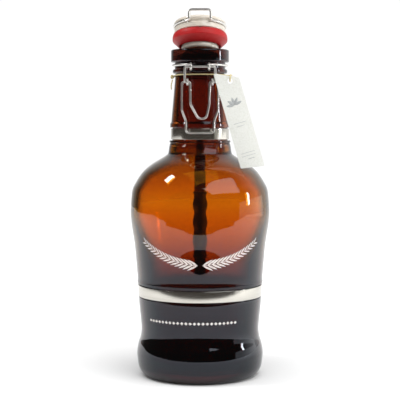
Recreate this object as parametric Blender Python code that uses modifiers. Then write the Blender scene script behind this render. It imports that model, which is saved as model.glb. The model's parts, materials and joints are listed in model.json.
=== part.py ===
"""Two-litre growler: a brown glass bottle with a lever closure, two steel bands, a back handle and a hang tag.

The front faces -Y, the handle is at +Y and the bottle stands on z = 0. Sizes are in millimetres and become
metres when a mesh is made. Places are measured from the foot of the bottle's axis.
"""

import math

import bmesh
import bpy
from mathutils import Matrix, Vector

MM = 0.001
GAP = 0.3  # between pieces that touch

# Glass: radii and the stack of heights, from the foot up
BODY_R = 65.6
WALL = 3.5
BASE_WALL = 6.0
FOOT_RING_R = 50.5
FOOT_RING_WIDTH = 6.5
PUNT_HEIGHT = 4.5
BODY_BAND_Z = 76.2
BELLY_Z = 157.0
SHOULDER_HEIGHT = 54.0
COLLAR_R = 29.8
COLLAR_HEIGHT = 11.4
NECK_FOOT_R = 27.1
NECK_TOP_R = 23.1
NECK_LENGTH = 47.1
BEAD_R = 25.7
BEAD_HEIGHT = 4.1
GROOVE_R = 23.8
GROOVE_HEIGHT = 6.2
LIP_R = 27.3
LIP_HEIGHT = 11.9
BORE_R = 19.0

# Depths of the body's outline inside BODY_R, by height above the foot
BODY_DEPTHS = (
    (157.0, 0.0), (147.0, 0.4), (139.5, 1.3), (124.0, 3.6), (109.0, 4.9), (94.0, 6.1),
    (81.0, 6.9), (68.0, 7.7), (56.0, 8.9), (45.0, 9.8), (37.0, 9.0), (30.5, 7.0), (22.0, 5.7), (14.5, 6.2),
)
# The shoulder's outline: share of its width still left, and share of its height
SHOULDER_SHAPE = ((0.02, 0.97), (0.13, 0.92), (0.43, 0.80), (0.67, 0.665), (0.86, 0.48), (0.96, 0.32))
HEEL_SHAPE = ((0.12, 0.58), (0.42, 0.24), (0.78, 0.06))

# Steel strip, strap and rivets
BAND_WIDTH = 10.3
BAND_THICKNESS = 1.0
BAND_SPLIT = 2.0
NECK_SEAT_R = 26.1
BODY_SEAT_R = BODY_R - 7.9
SEAT_MARGIN = 0.8  # of a band's recess above and below the band
NECK_RIDGE_HEIGHT = 3.4
FOOT_THICKNESS = 1.8
FOOT_LENGTH = 26.0
STRAP_WIDTH = 12.6
STRAP_THICKNESS = 2.0
HANDLE_REACH = 98.0
UPPER_BEND_R = 30.0
LOWER_BEND_R = 15.0
RIVET_SPREAD = 9.4
RIVET_R = 1.5
RIVET_HEAD_R = 2.7
RIVET_HEAD_HEIGHT = 1.2
RIVET_FLARE = 0.6

# Grip
GRIP_LENGTH = 75.0
GRIP_WIDTH = 16.0
GRIP_DEPTH = 16.0
GRIP_WAVES = 4
GRIP_WAVE = 0.7
GRIP_LOW = 99.0

# Closure wires
WIRE_R = 1.1
BAIL_WIRE_R = 1.0
EYE_PLAY = 0.5
EYE_SWEEP = 245.0
FRONT_EYE_X = 8.3
AXLE_FORWARD = 31.0
AXLE_BELOW_LIP = 17.1
LINK_BACK = 2.8
LINK_DOWN = 13.9
LEVER_ARM_X = 13.9
LEVER_INNER_X = 9.1
BAIL_EYE_X = 11.5
BAIL_ARM_X = 16.6
BAIL_FOOT_X = 12.9
BAIL_LENGTH = 46.6
HINGE_BACK = 33.5
HINGE_BELOW_LIP = 14.2
HINGE_BAR_X = 10.5
LID_EYE_X = 6.0

# Lid and gasket, measured up from the face where they meet
LID_RISE = 8.1  # that face above the lip, closed
LID_R = 24.3
LID_HEIGHT = 12.1
LID_WIRE_R = 24.4
LID_WIRE_HEIGHT = 6.6
SPIGOT_R = 17.5
SPIGOT_LENGTH = 16.7
GASKET_R = 25.9
GASKET_HEIGHT = 12.7
GASKET_TOE_R = 19.8
GASKET_SIDE = 6.8  # upright height of its outside, above its cone
SEAT_PLAY = 0.7  # of the mouth's cone round the gasket's, on the radius
CATCH_FORWARD = 30.0
CATCH_HALF_WIDTH = 10.0
CATCH_HEIGHT = 7.5
CATCH_DIP = 1.5
LID_OPEN_DEG = 13.3

# Tag and cord
TAG_WIDTH = 21.6
TAG_LENGTH = 90.3
TAG_TOP_CUT = 10.0
TAG_FOOT_CUT = 3.7
TAG_THICKNESS = 0.5
TAG_LEAN_DEG = 16.2
TAG_PLUMB_R = 63.235  # of a body that the tag would hang plumb in front of
TAG_HOLE_R = 2.5
TAG_HOLE = (12.7, 10.9)  # from the high corner: across, then down
TAG_PIVOT = (27.4, -31.8, 276.6)
CORD_R = 0.6
CORD_SPACING = 3.2
KNOT_CENTRE = (-25.9, -2.6, 281.8)
KNOT_R = 2.2

# Fineness
GLASS_SEGMENTS = 32
LID_SEGMENTS = 24
GRIP_SEGMENTS = 20
RIVET_SEGMENTS = 8

# Heights that follow from the stack
COLLAR_Z = BELLY_Z + SHOULDER_HEIGHT
NECK_SEAT_Z = COLLAR_Z + COLLAR_HEIGHT
NECK_BAND_Z = NECK_SEAT_Z + SEAT_MARGIN
NECK_RIDGE_Z = NECK_BAND_Z + BAND_WIDTH + SEAT_MARGIN
NECK_FOOT_Z = NECK_RIDGE_Z + NECK_RIDGE_HEIGHT
BEAD_Z = NECK_FOOT_Z + NECK_LENGTH
GROOVE_Z = BEAD_Z + BEAD_HEIGHT
LIP_Z = GROOVE_Z + GROOVE_HEIGHT
LIP_TOP = LIP_Z + LIP_HEIGHT

# Places of the closure
NECK_RING_R = GROOVE_R + 0.5 + WIRE_R
NECK_RING_Z = GROOVE_Z + 0.55 * GROOVE_HEIGHT
EYE_R = WIRE_R + EYE_PLAY + WIRE_R
BAIL_EYE_R = WIRE_R + EYE_PLAY + BAIL_WIRE_R
AXLE = Vector((0, -AXLE_FORWARD, LIP_TOP - AXLE_BELOW_LIP))
LINK = AXLE + Vector((0, LINK_BACK, -LINK_DOWN))
HINGE = Vector((0, HINGE_BACK, LIP_TOP - HINGE_BELOW_LIP))
LID_FACE = LIP_TOP + LID_RISE
CONE_SLOPE = (GASKET_R - GASKET_TOE_R) / (GASKET_HEIGHT - GASKET_SIDE)
SEAT_R = GASKET_R - (LID_RISE - GASKET_SIDE) * CONE_SLOPE + SEAT_PLAY
SEAT_DEPTH = (SEAT_R - BORE_R) / CONE_SLOPE
TAG_TIP_DEG = math.degrees(math.atan((BODY_R - TAG_PLUMB_R) / TAG_LENGTH))
HANDLE_BACK = HANDLE_REACH + GRIP_DEPTH / 2
AXIS_Y = (BODY_R - HANDLE_BACK) / 2  # centres the whole object on y = 0

# The cord's route, from the knot round the neck's front, through the tag and round the back to the knot
CORD_ROUTE = (
    (-24.2, -5.1, 282.9), (-21.0, -12.1, 283.3), (-15.6, -18.6, 283.3), (-8.3, -22.8, 283.3),
    (0.0, -24.2, 283.3), (8.3, -22.8, 283.3), (15.6, -18.6, 283.3), (21.0, -12.1, 283.3),
    (23.5, -6.2, 283.3), (24.5, -1.8, 283.3), (26.4, 0.8, 283.3), (28.7, 0.2, 283.3),
    (29.7, -2.8, 283.2), (29.6, -9.0, 282.9), (29.2, -17.0, 282.5), (28.6, -25.0, 282.4),
    (28.1, -30.4, 282.5), (27.7, -33.4, 281.8), (27.5, -34.8, 279.6), (27.4, -34.2, 277.6),
    (27.4, -31.8, 276.5), (27.4, -29.6, 277.1), (27.3, -27.4, 278.6), (27.0, -22.5, 280.1),
    (26.5, -16.0, 281.1), (25.7, -9.0, 281.6), (24.9, -1.5, 281.7), (23.9, 4.6, 281.7),
    (21.0, 12.3, 281.8), (15.6, 18.7, 281.9), (8.3, 22.9, 282.1), (0.0, 24.4, 282.3),
    (-8.3, 22.9, 282.5), (-15.6, 18.7, 282.7), (-21.0, 12.3, 282.8), (-23.9, 5.4, 282.7),
    (-25.2, 0.3, 282.3),
)
TAIL_ROUTE = (
    (-25.9, -2.8, 279.2), (-26.1, -3.4, 277.8), (-26.7, -4.4, 275.6), (-27.0, -5.0, 272.8), (-26.8, -5.4, 269.8),
)


def rounded(corners, closed=False, steps=3):
    """The outline through corners that each end in a bend radius, with an arc of a few points at each bend."""
    outline = []
    for index, (*place, bend) in enumerate(corners):
        corner = Vector(place)
        is_end = not closed and index in (0, len(corners) - 1)
        if is_end or bend == 0:
            outline.append(corner)
            continue
        before = (Vector(corners[index - 1][:-1]) - corner).normalized()
        after = (Vector(corners[(index + 1) % len(corners)][:-1]) - corner).normalized()
        half = math.acos(max(-1.0, min(1.0, before.dot(after)))) / 2
        centre = corner + (before + after).normalized() * bend / math.sin(half)
        start = corner + before * bend / math.tan(half) - centre
        end = corner + after * bend / math.tan(half) - centre
        sweep = math.pi - 2 * half
        for step in range(steps + 1):
            share = step / steps
            arc = start * math.sin((1 - share) * sweep) + end * math.sin(share * sweep)
            outline.append(centre + arc / math.sin(sweep))
    return outline


def flowing(points, per_span):
    """A Catmull-Rom curve through the points, with this many steps from each to the next."""
    knots = [Vector(point) for point in points]
    knots = [2 * knots[0] - knots[1], *knots, 2 * knots[-1] - knots[-2]]
    curve = []
    for a, b, c, d in zip(knots, knots[1:], knots[2:], knots[3:]):
        for step in range(per_span):
            t = step / per_span
            curve.append(
                (2 * b + (c - a) * t + (2 * a - 5 * b + 4 * c - d) * t**2 + (3 * b - a - 3 * c + d) * t**3) / 2
            )
    curve.append(knots[-2])
    return curve


def evenly(curve, spacing):
    """The curve again with points this far apart, near enough, and both ends kept."""
    lengths = [0.0]
    for a, b in zip(curve, curve[1:]):
        lengths.append(lengths[-1] + (b - a).length)
    count = round(lengths[-1] / spacing)
    even = []
    span = 0
    for step in range(count + 1):
        target = lengths[-1] * step / count
        while span < len(curve) - 2 and lengths[span + 1] < target:
            span += 1
        share = (target - lengths[span]) / (lengths[span + 1] - lengths[span])
        even.append(curve[span].lerp(curve[span + 1], share))
    return even


def inset(outline, distance):
    """An outline that runs downwards, moved towards the axis by a distance square to itself."""
    moved = []
    for index, point in enumerate(outline):
        along = outline[min(index + 1, len(outline) - 1)] - outline[max(index - 1, 0)]
        moved.append(point + Vector((along.y, -along.x)).normalized() * distance)
    return moved


def new_collection(name):
    collection = bpy.data.collections.new(name)
    bpy.context.scene.collection.children.link(collection)
    return collection


def new_material(name, colour, roughness, metallic=0.0, transmission=0.0):
    material = bpy.data.materials.new(name)
    material.use_nodes = True
    shader = material.node_tree.nodes["Principled BSDF"]
    shader.inputs["Base Color"].default_value = (*colour, 1.0)
    shader.inputs["Roughness"].default_value = roughness
    shader.inputs["Metallic"].default_value = metallic
    shader.inputs["Transmission Weight"].default_value = transmission
    return material


def new_empty(name, place, parent=None):
    """An empty at a place measured from the foot of the bottle's axis."""
    empty = bpy.data.objects.new(name, None)
    PARTS.objects.link(empty)
    empty.parent = parent
    from_parent = Vector(place) - (PLACES[parent] if parent else Vector())
    empty.location = from_parent * MM
    PLACES[empty] = Vector(place) if parent else Vector()
    return empty


def add(name, data, material=None, parent=None, collection=None):
    """A piece whose mesh is measured from the foot of the bottle's axis, hung on the empty that moves it."""
    obj = bpy.data.objects.new(name, data)
    (collection or PARTS).objects.link(obj)
    obj.parent = parent or BOTTLE_AXIS
    obj.location = -PLACES[obj.parent] * MM
    if material:
        data.materials.append(material)
    return obj


def hide_helper(obj):
    obj.hide_render = True
    obj.display_type = "WIRE"
    return obj


def turned(name, outline, material=None, closed=False, segments=GLASS_SEGMENTS, **placing):
    """A solid of revolution. The outline's outer side runs from top to bottom."""
    mesh = bpy.data.meshes.new(name)
    edges = [(index, index + 1) for index in range(len(outline) - 1)]
    if closed:
        edges.append((len(outline) - 1, 0))
    mesh.from_pydata([(point[0] * MM, 0, point[1] * MM) for point in outline], edges, [])
    obj = add(name, mesh, material, **placing)
    screw = obj.modifiers.new("Turn", "SCREW")
    screw.steps = segments
    screw.render_steps = segments
    screw.use_merge_vertices = True
    screw.merge_threshold = 1e-5
    screw.use_smooth_shade = True
    return obj


def wire(name, points, radius, material, closed=False, parent=None):
    """Round wire along a path."""
    curve = bpy.data.curves.new(name, "CURVE")
    curve.dimensions = "3D"
    curve.twist_mode = "MINIMUM"
    curve.bevel_depth = radius * MM
    curve.bevel_resolution = 2
    curve.use_fill_caps = True
    spline = curve.splines.new("POLY")
    spline.points.add(len(points) - 1)
    for knot, point in zip(spline.points, points):
        knot.co = (*(Vector(point) * MM), 1)
    spline.use_cyclic_u = closed
    return add(name, curve, material, parent)


def box(name, low, high):
    """A box cutter between two corners."""
    mesh = bpy.data.meshes.new(name)
    shape = bmesh.new()
    bmesh.ops.create_cube(shape, size=1)
    low, high = Vector(low) * MM, Vector(high) * MM
    sides = Matrix.Diagonal(high - low).to_4x4()
    bmesh.ops.transform(shape, matrix=Matrix.Translation((low + high) / 2) @ sides, verts=shape.verts)
    shape.to_mesh(mesh)
    shape.free()
    return hide_helper(add(name, mesh, collection=CUTTERS))


def combine(obj, other, operation):
    boolean = obj.modifiers.new(other.name, "BOOLEAN")
    boolean.operation = operation
    boolean.object = other


def eye(x, centre, radius, start_deg, turn):
    """The points of an open wire eye in the plane at x. Angles run from +Y towards +Z, and turn is 1 or -1."""
    points = []
    for step in range(9):
        angle = math.radians(start_deg + turn * EYE_SWEEP * step / 8)
        points.append(Vector((x, centre.y + radius * math.cos(angle), centre.z + radius * math.sin(angle))))
    return points


def mirrored(points):
    """The same points on the other side of the middle plane, in the opposite order."""
    return [Vector((-point.x, point.y, point.z)) for point in reversed(points)]


def side_outline(per_span):
    """The glass's side from under the collar to the heel, without the band's seat."""
    width = BODY_R - COLLAR_R
    shoulder = [(COLLAR_R + share * width, BELLY_Z + rise * SHOULDER_HEIGHT) for share, rise in SHOULDER_SHAPE]
    body = [(BODY_R - depth, height * BELLY_Z / BODY_DEPTHS[0][0]) for height, depth in BODY_DEPTHS]
    return flowing(shoulder + body, per_span)


def neck_outline():
    """The lip, wire groove, bead, neck cone, band seat and collar, from the mouth down."""
    ridge_r = NECK_SEAT_R + 2.1
    lower_ridge_r = NECK_SEAT_R + 2.6
    seat_low = NECK_BAND_Z - SEAT_MARGIN
    return rounded(
        (
            (BORE_R, LIP_TOP - SEAT_DEPTH, 0),
            (SEAT_R, LIP_TOP, 0),
            (LIP_R, LIP_TOP, 1.8),
            (LIP_R, LIP_Z, 1.4),
            (GROOVE_R, LIP_Z, 0),
            (GROOVE_R, GROOVE_Z, 0),
            (BEAD_R, GROOVE_Z, 1.5),
            (BEAD_R, BEAD_Z, 1.5),
            (NECK_TOP_R, BEAD_Z, 0.3),
            (NECK_FOOT_R, NECK_FOOT_Z + 2, 0),
            (ridge_r, NECK_FOOT_Z, 0),
            (ridge_r, NECK_RIDGE_Z, 0),
            (NECK_SEAT_R, NECK_RIDGE_Z, 0),
            (NECK_SEAT_R, seat_low, 0),
            (lower_ridge_r, seat_low, 0.8),
            (lower_ridge_r, COLLAR_Z + 6.5, 0),
            (COLLAR_R - 0.8, COLLAR_Z + 6, 0),
            (COLLAR_R, COLLAR_Z, 0),
        ),
        steps=2,
    )


def bottle():
    """The glass: up its inside from the floor, over the lip and down its outside to the hollow under its foot."""
    side = side_outline(2)
    seat_top = BODY_BAND_Z + BAND_WIDTH + SEAT_MARGIN
    seat_low = BODY_BAND_Z - SEAT_MARGIN
    above = [point for point in side if point.y > seat_top + 4]
    below = [point for point in side if point.y < seat_low - 2]
    bead = ((above[-1].x + 0.3, seat_top + 2.5), (above[-1].x, seat_top + 0.6), (BODY_SEAT_R, seat_top))
    shelf = ((BODY_SEAT_R, seat_low), (below[0].x, seat_low - 0.4))
    foot_ring_in = FOOT_RING_R - FOOT_RING_WIDTH
    heel_width = side[-1].x - FOOT_RING_R
    heel = [(side[-1].x - share * heel_width, rise * side[-1].y) for share, rise in HEEL_SHAPE]
    foot = ((FOOT_RING_R, 0), (foot_ring_in, 0), (foot_ring_in - 3, 2), (0, PUNT_HEIGHT))
    outside = [*neck_outline(), *above, *bead, *shelf, *below, *heel, *foot]

    floor = PUNT_HEIGHT + BASE_WALL
    inner_side = [point for point in inset(side_outline(1), WALL) if point.y > floor + 9]
    inner_side = inner_side[::-1]
    floor_r = inner_side[0].x
    neck_bore_r = NECK_SEAT_R - WALL
    inside = [
        (0, floor),
        (floor_r - 12, floor - 1.5),
        (floor_r - 3.5, floor + 2),
        *inner_side,
        (neck_bore_r + 1.5, COLLAR_Z),
        (neck_bore_r, NECK_SEAT_Z),
        (neck_bore_r, NECK_FOOT_Z),
        (BORE_R + 0.4, BEAD_Z),
    ]
    return turned("bottle", [*inside, *outside], GLASS)


def rivet_outline(stack, play):
    """A dome-headed rivet whose end spreads in a stack of plates, or with play its hole, from the outside in."""
    shank = RIVET_R + play
    flare = RIVET_FLARE if play == 0 else RIVET_FLARE + 0.1
    if play:
        top = ((0, 6), (shank, 6))
    else:
        top = (
            (0, GAP + RIVET_HEAD_HEIGHT),
            (0.55 * RIVET_HEAD_R, GAP + 0.85 * RIVET_HEAD_HEIGHT),
            (RIVET_HEAD_R, GAP + 0.3 * RIVET_HEAD_HEIGHT),
            (RIVET_HEAD_R, GAP),
            (shank, GAP),
        )
    end = stack + (1 if play else 0)
    return (*top, (shank, -stack + BAND_THICKNESS), (shank + flare, -stack), (shank + flare, -end), (0, -end))


def along_radius(obj, radius, sideways, height):
    """Places a turned piece on a radius of the bottle, so that its own z = 0 lies at that radius."""
    angle = math.asin(sideways / radius)
    outward = Vector((math.sin(angle), math.cos(angle), 0))
    obj.location = (outward * radius + Vector((0, 0, height))) * MM
    obj.rotation_euler = outward.to_track_quat("Z", "Y").to_euler()


def strap_end(name, band_z, seat_r):
    """A band with its split, its rivets, and the foot plate of the strap that bridges the split."""
    band_in = seat_r + GAP
    band_out = band_in + BAND_THICKNESS
    foot_in = band_out + GAP
    foot_out = foot_in + FOOT_THICKNESS
    band_top = band_z + BAND_WIDTH
    middle = band_z + BAND_WIDTH / 2
    strip = ((band_in, band_z), (band_in, band_top), (band_out, band_top), (band_out, band_z))
    band = turned(f"{name}_band", strip, STEEL, closed=True)
    split = box(f"{name}_split", (-BAND_SPLIT / 2, 0, band_z - 2), (BAND_SPLIT / 2, band_out + 5, band_top + 2))
    combine(band, split, "DIFFERENCE")

    low, top = band_z + 0.5, band_top - 0.5
    plate = ((foot_in, low), (foot_in, top), (foot_out, top), (foot_out, low))
    foot = hide_helper(turned(f"{name}_foot", plate, closed=True, collection=CUTTERS))
    length = box(f"{name}_foot_length", (-FOOT_LENGTH / 2, 0, low - 2), (FOOT_LENGTH / 2, foot_out + 5, top + 2))
    combine(foot, length, "INTERSECT")

    stack = foot_out - band_in
    holes = []
    for side_name, side in (("left", -1), ("right", 1)):
        rivet = turned(f"{name}_rivet_{side_name}", rivet_outline(stack, 0), STEEL, segments=RIVET_SEGMENTS)
        along_radius(rivet, foot_out, side * RIVET_SPREAD, middle)
        hole = turned(
            f"{name}_hole_{side_name}", rivet_outline(stack, GAP), segments=RIVET_SEGMENTS, collection=CUTTERS
        )
        along_radius(hide_helper(hole), foot_out, side * RIVET_SPREAD, middle)
        combine(band, hole, "DIFFERENCE")
        holes.append(hole)
    return foot, holes, (foot_in + foot_out) / 2, middle


def handle_strap(neck_end, body_end):
    """The strap: out from the neck's foot plate, down behind the body and in to the body's foot plate."""
    _, _, neck_r, neck_z = neck_end
    _, _, body_r, body_z = body_end
    half = STRAP_THICKNESS / 2
    outer = (
        (neck_r, neck_z + half, 0),
        (HANDLE_REACH + half, neck_z + half, UPPER_BEND_R + half),
        (HANDLE_REACH + half, body_z - half, LOWER_BEND_R + half),
        (body_r, body_z - half, 0),
    )
    inner = (
        (body_r, body_z + half, 0),
        (HANDLE_REACH - half, body_z + half, LOWER_BEND_R - half),
        (HANDLE_REACH - half, neck_z - half, UPPER_BEND_R - half),
        (neck_r, neck_z - half, 0),
    )
    outline = rounded(outer, steps=7) + rounded(inner, steps=7)
    curve = bpy.data.curves.new("handle_strap", "CURVE")
    curve.dimensions = "2D"
    curve.fill_mode = "BOTH"
    curve.extrude = STRAP_WIDTH / 2 * MM
    spline = curve.splines.new("POLY")
    spline.points.add(len(outline) - 1)
    for knot, (back, height) in zip(spline.points, outline):
        knot.co = (back * MM, height * MM, 0, 1)
    spline.use_cyclic_u = True
    flat = add("strap_outline", curve)
    upright = Matrix(((0, 0, 1), (1, 0, 0), (0, 1, 0))).to_4x4()

    shape = bmesh.new()
    bpy.context.view_layer.update()
    evaluated = flat.evaluated_get(bpy.context.evaluated_depsgraph_get())
    mesh = bpy.data.meshes.new_from_object(evaluated)
    shape.from_mesh(mesh)
    bmesh.ops.remove_doubles(shape, verts=shape.verts, dist=1e-6)
    bmesh.ops.transform(shape, matrix=upright, verts=shape.verts)
    shape.to_mesh(mesh)
    shape.free()
    bpy.data.objects.remove(flat)
    strap = add("handle_strap", mesh, STEEL)
    for foot, holes, _, _ in (neck_end, body_end):
        combine(strap, foot, "UNION")
        for hole in holes:
            combine(strap, hole, "DIFFERENCE")
    return strap


def grip():
    """The moulded sleeve: oval, with finger waves, and a slot that the strap passes through."""
    stations = 18
    outline = [(0, GRIP_LENGTH)]
    for step in range(stations + 1):
        share = 1 - step / stations
        end = min(share, 1 - share) * GRIP_LENGTH
        rounding = 1 - 0.35 * max(0.0, 1 - end / 4) ** 2
        wave = GRIP_WAVE * math.cos(2 * math.pi * GRIP_WAVES * share)
        outline.append(((GRIP_DEPTH / 2 - GRIP_WAVE + wave) * rounding, share * GRIP_LENGTH))
    outline.append((0, 0))
    sleeve = turned("grip", outline, BLACK_PLASTIC, segments=GRIP_SEGMENTS)
    sleeve.location = Vector((0, HANDLE_REACH, GRIP_LOW)) * MM
    sleeve.scale.x = GRIP_WIDTH / GRIP_DEPTH
    half_width = STRAP_WIDTH / 2 + GAP
    half_depth = STRAP_THICKNESS / 2 + GAP
    slot = box(
        "grip_slot",
        (-half_width, HANDLE_REACH - half_depth, GRIP_LOW - 5),
        (half_width, HANDLE_REACH + half_depth, GRIP_LOW + GRIP_LENGTH + 5),
    )
    combine(sleeve, slot, "DIFFERENCE")


def arc(radius, height, start_deg, end_deg, steps):
    """Points of a level arc round the bottle's axis, with angles from +X towards +Y."""
    angles = [math.radians(start_deg + (end_deg - start_deg) * step / steps) for step in range(steps + 1)]
    return [Vector((radius * math.cos(a), radius * math.sin(a), height)) for a in angles]


def neck_ring():
    """The groove wire: a front eye, half the neck, the hinge bar behind, the other half and the other eye."""
    level = AXLE.z + EYE_R
    lead_in = [
        Vector((FRONT_EYE_X, AXLE.y + 2.2, level + 0.1)),
        Vector((FRONT_EYE_X + 0.5, -NECK_RING_R - 0.3, NECK_RING_Z - 0.1)),
    ]
    bar_end = rounded(
        (
            (HINGE_BAR_X, NECK_RING_R + 1, NECK_RING_Z, 0),
            (HINGE_BAR_X, HINGE.y, HINGE.z, 2.5),
            (0, HINGE.y, HINGE.z, 0),
        )
    )[:-1]
    right = [
        *eye(FRONT_EYE_X, AXLE, EYE_R, 90 + EYE_SWEEP, -1),
        *lead_in,
        *arc(NECK_RING_R, NECK_RING_Z, -63, 61, 9),
        *bar_end,
    ]
    return wire("neck_ring", right + mirrored(right), WIRE_R, WIRE_STEEL)


def lever(parent):
    """The closed loop that the hand presses: axle, arms, jogs that carry the bail, and a slanted V."""
    low = LINK.z
    lean = 0.006  # how far the loop leans out for each millimetre that it falls
    outline = [
        (LEVER_ARM_X, AXLE.z, 1.6),
        (LEVER_ARM_X, low, 1.4),
        (LEVER_INNER_X, low, 1.4),
        (8.4, low - 20.3, 9.0),
        (5.6, low - 33.6, 4.0),
        (-1.6, low - 33.6, 5.0),
        (-8.8, low - 20.3, 9.0),
        (-LEVER_INNER_X, low, 1.4),
        (-LEVER_ARM_X, low, 1.4),
        (-LEVER_ARM_X, AXLE.z, 1.6),
    ]
    points = []
    for x, z in rounded(outline, closed=True):
        above = (z - low) / LINK_DOWN
        y = LINK.y - LINK_BACK * above if above > 0 else LINK.y - lean * (low - z)
        points.append(Vector((x, y, z)))
    return wire("lever", points, WIRE_R, WIRE_STEEL, closed=True, parent=parent)


def bail(parent):
    """The loop that hooks behind the lid's catch. Each end runs in behind the lever's arm to its eye."""
    back = LINK.y + BAIL_EYE_R
    top = LINK.z
    foot = Vector((0, LINK.y - 0.8, top - BAIL_LENGTH))
    side = rounded(
        (
            (BAIL_EYE_X + 1.6, back, top, 0),
            (BAIL_ARM_X, back, top, 1.6),
            (BAIL_ARM_X, LINK.y + 0.6, top - 26.0, 5.0),
            (BAIL_FOOT_X, LINK.y, top - 35.5, 5.0),
            (BAIL_FOOT_X, foot.y, foot.z, 3.0),
            (0, foot.y, foot.z, 0),
        )
    )[:-1]
    ring = eye(BAIL_EYE_X, LINK, BAIL_EYE_R, 22 + EYE_SWEEP, -1)
    right = [*ring, Vector((BAIL_EYE_X + 0.35, back - 0.02, top + 0.25)), *side]
    return wire("bail", right + mirrored(right), BAIL_WIRE_R, WIRE_STEEL, parent=parent)


def lid_wire(parent):
    """The wire in the lid's groove: catch at the front, and at the back two arms with eyes on the hinge bar."""
    level = LID_FACE + LID_WIRE_HEIGHT
    dip = level - CATCH_DIP
    front_x = CATCH_HALF_WIDTH - 0.4
    front_y = -math.sqrt(LID_WIRE_R**2 - front_x**2)
    arm_y = HINGE.y - EYE_R
    arm = rounded(
        (
            (LID_EYE_X, arm_y, HINGE.z + 1, 0),
            (LID_EYE_X, arm_y, level - 1.5, 3.0),
            (LID_EYE_X + 1.5, LID_WIRE_R, level, 0),
        )
    )
    catch = rounded(
        (
            (front_x, front_y - 1.5, level - 0.2, 0),
            (CATCH_HALF_WIDTH, front_y - 4.5, dip, 1.5),
            (CATCH_HALF_WIDTH, -CATCH_FORWARD, dip, 1.4),
            (CATCH_HALF_WIDTH, -CATCH_FORWARD, level + CATCH_HEIGHT, 2.8),
            (0, -CATCH_FORWARD, level + CATCH_HEIGHT, 0),
        )
    )[:-1]
    ring_end = math.degrees(math.atan2(front_y, front_x))
    right = [
        *eye(LID_EYE_X, HINGE, EYE_R, 180 + EYE_SWEEP, -1),
        *arm,
        *arc(LID_WIRE_R, level, 68, ring_end, 9),
        *catch,
    ]
    return wire("lid_wire", right + mirrored(right), WIRE_R, WIRE_STEEL, parent=parent)


def lid(parent):
    """The porcelain stopper: a groove for its wire, and a hollow spigot that carries the gasket."""
    face = LID_FACE
    groove = face + LID_WIRE_HEIGHT
    outline = rounded(
        (
            (0, face + LID_HEIGHT, 0),
            (LID_R + 0.2, face + LID_HEIGHT, 2.6),
            (LID_R + 0.2, groove + 1.9, 0),
            (LID_R - 1.5, groove + 0.8, 0),
            (LID_R - 1.5, groove - 0.8, 0),
            (LID_R, groove - 1.9, 0),
            (LID_R, face, 1.0),
            (SPIGOT_R, face, 0),
            (SPIGOT_R, face - SPIGOT_LENGTH, 2.0),
            (SPIGOT_R - 4, face - SPIGOT_LENGTH, 1.0),
            (SPIGOT_R - 5, face - 9, 2.5),
            (0, face - 9, 0),
        ),
        steps=2,
    )
    return turned("lid", outline, PORCELAIN, segments=LID_SEGMENTS, parent=parent)


def gasket(parent):
    """The rubber ring: upright inside, round outside, and coned below to match the mouth."""
    top = LID_FACE - GAP
    toe = LID_FACE - GASKET_HEIGHT
    bore = SPIGOT_R + GAP
    outline = rounded(
        (
            (bore, top, 0.8),
            (GASKET_R - 0.9, top, 1.6),
            (GASKET_R, top - 3.6, 6.0),
            (GASKET_R, LID_FACE - GASKET_SIDE, 1.6),
            (GASKET_TOE_R, toe, 1.0),
            (bore, toe, 0.5),
        ),
        closed=True,
        steps=2,
    )
    return turned("gasket", outline, RED_RUBBER, closed=True, segments=LID_SEGMENTS, parent=parent)


def hang_tag(parent):
    """The card, hung by a hole near its slanted top edge and leaning to the right."""
    across, down = TAG_HOLE
    corners = (
        (0, 0, 1.0),
        (TAG_WIDTH, -TAG_TOP_CUT, 1.0),
        (TAG_WIDTH, -TAG_LENGTH - TAG_FOOT_CUT, 1.0),
        (0, -TAG_LENGTH, 1.0),
    )
    outline = [(x - across, y + down) for x, y in rounded(corners, closed=True, steps=2)]
    hole = [(TAG_HOLE_R * math.cos(a), TAG_HOLE_R * math.sin(a)) for a in (math.tau * k / 12 for k in range(12))]
    curve = bpy.data.curves.new("hang_tag", "CURVE")
    curve.dimensions = "2D"
    curve.fill_mode = "BOTH"
    curve.extrude = TAG_THICKNESS / 2 * MM
    for loop in (outline, hole):
        spline = curve.splines.new("POLY")
        spline.points.add(len(loop) - 1)
        for knot, (x, y) in zip(spline.points, loop):
            knot.co = (x * MM, y * MM, 0, 1)
        spline.use_cyclic_u = True
    tag = add("hang_tag", curve, CARD, parent)
    tag.location = (0, 0, 0)
    upright = Matrix.Rotation(math.radians(90 - TAG_TIP_DEG), 4, "X")
    lean = Matrix.Rotation(math.radians(TAG_LEAN_DEG), 4, "Z")
    tag.rotation_euler = (upright @ lean).to_euler()
    return tag


def cord():
    """The cord round the neck and through the tag, with its knot and loose end."""
    wire("tag_cord", evenly(flowing(CORD_ROUTE, 8), CORD_SPACING), CORD_R, CREAM_CORD)
    wire("cord_tail", evenly(flowing(TAIL_ROUTE, 8), CORD_SPACING), CORD_R, CREAM_CORD)
    mesh = bpy.data.meshes.new("cord_knot")
    shape = bmesh.new()
    bmesh.ops.create_uvsphere(shape, u_segments=10, v_segments=7, radius=KNOT_R * MM)
    bmesh.ops.translate(shape, vec=Vector(KNOT_CENTRE) * MM, verts=shape.verts)
    shape.to_mesh(mesh)
    shape.free()
    add("cord_knot", mesh, CREAM_CORD)


for old in list(bpy.data.objects):
    bpy.data.objects.remove(old)

PLACES = {}
PARTS = new_collection("growler")
CUTTERS = new_collection("cutters")

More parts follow.
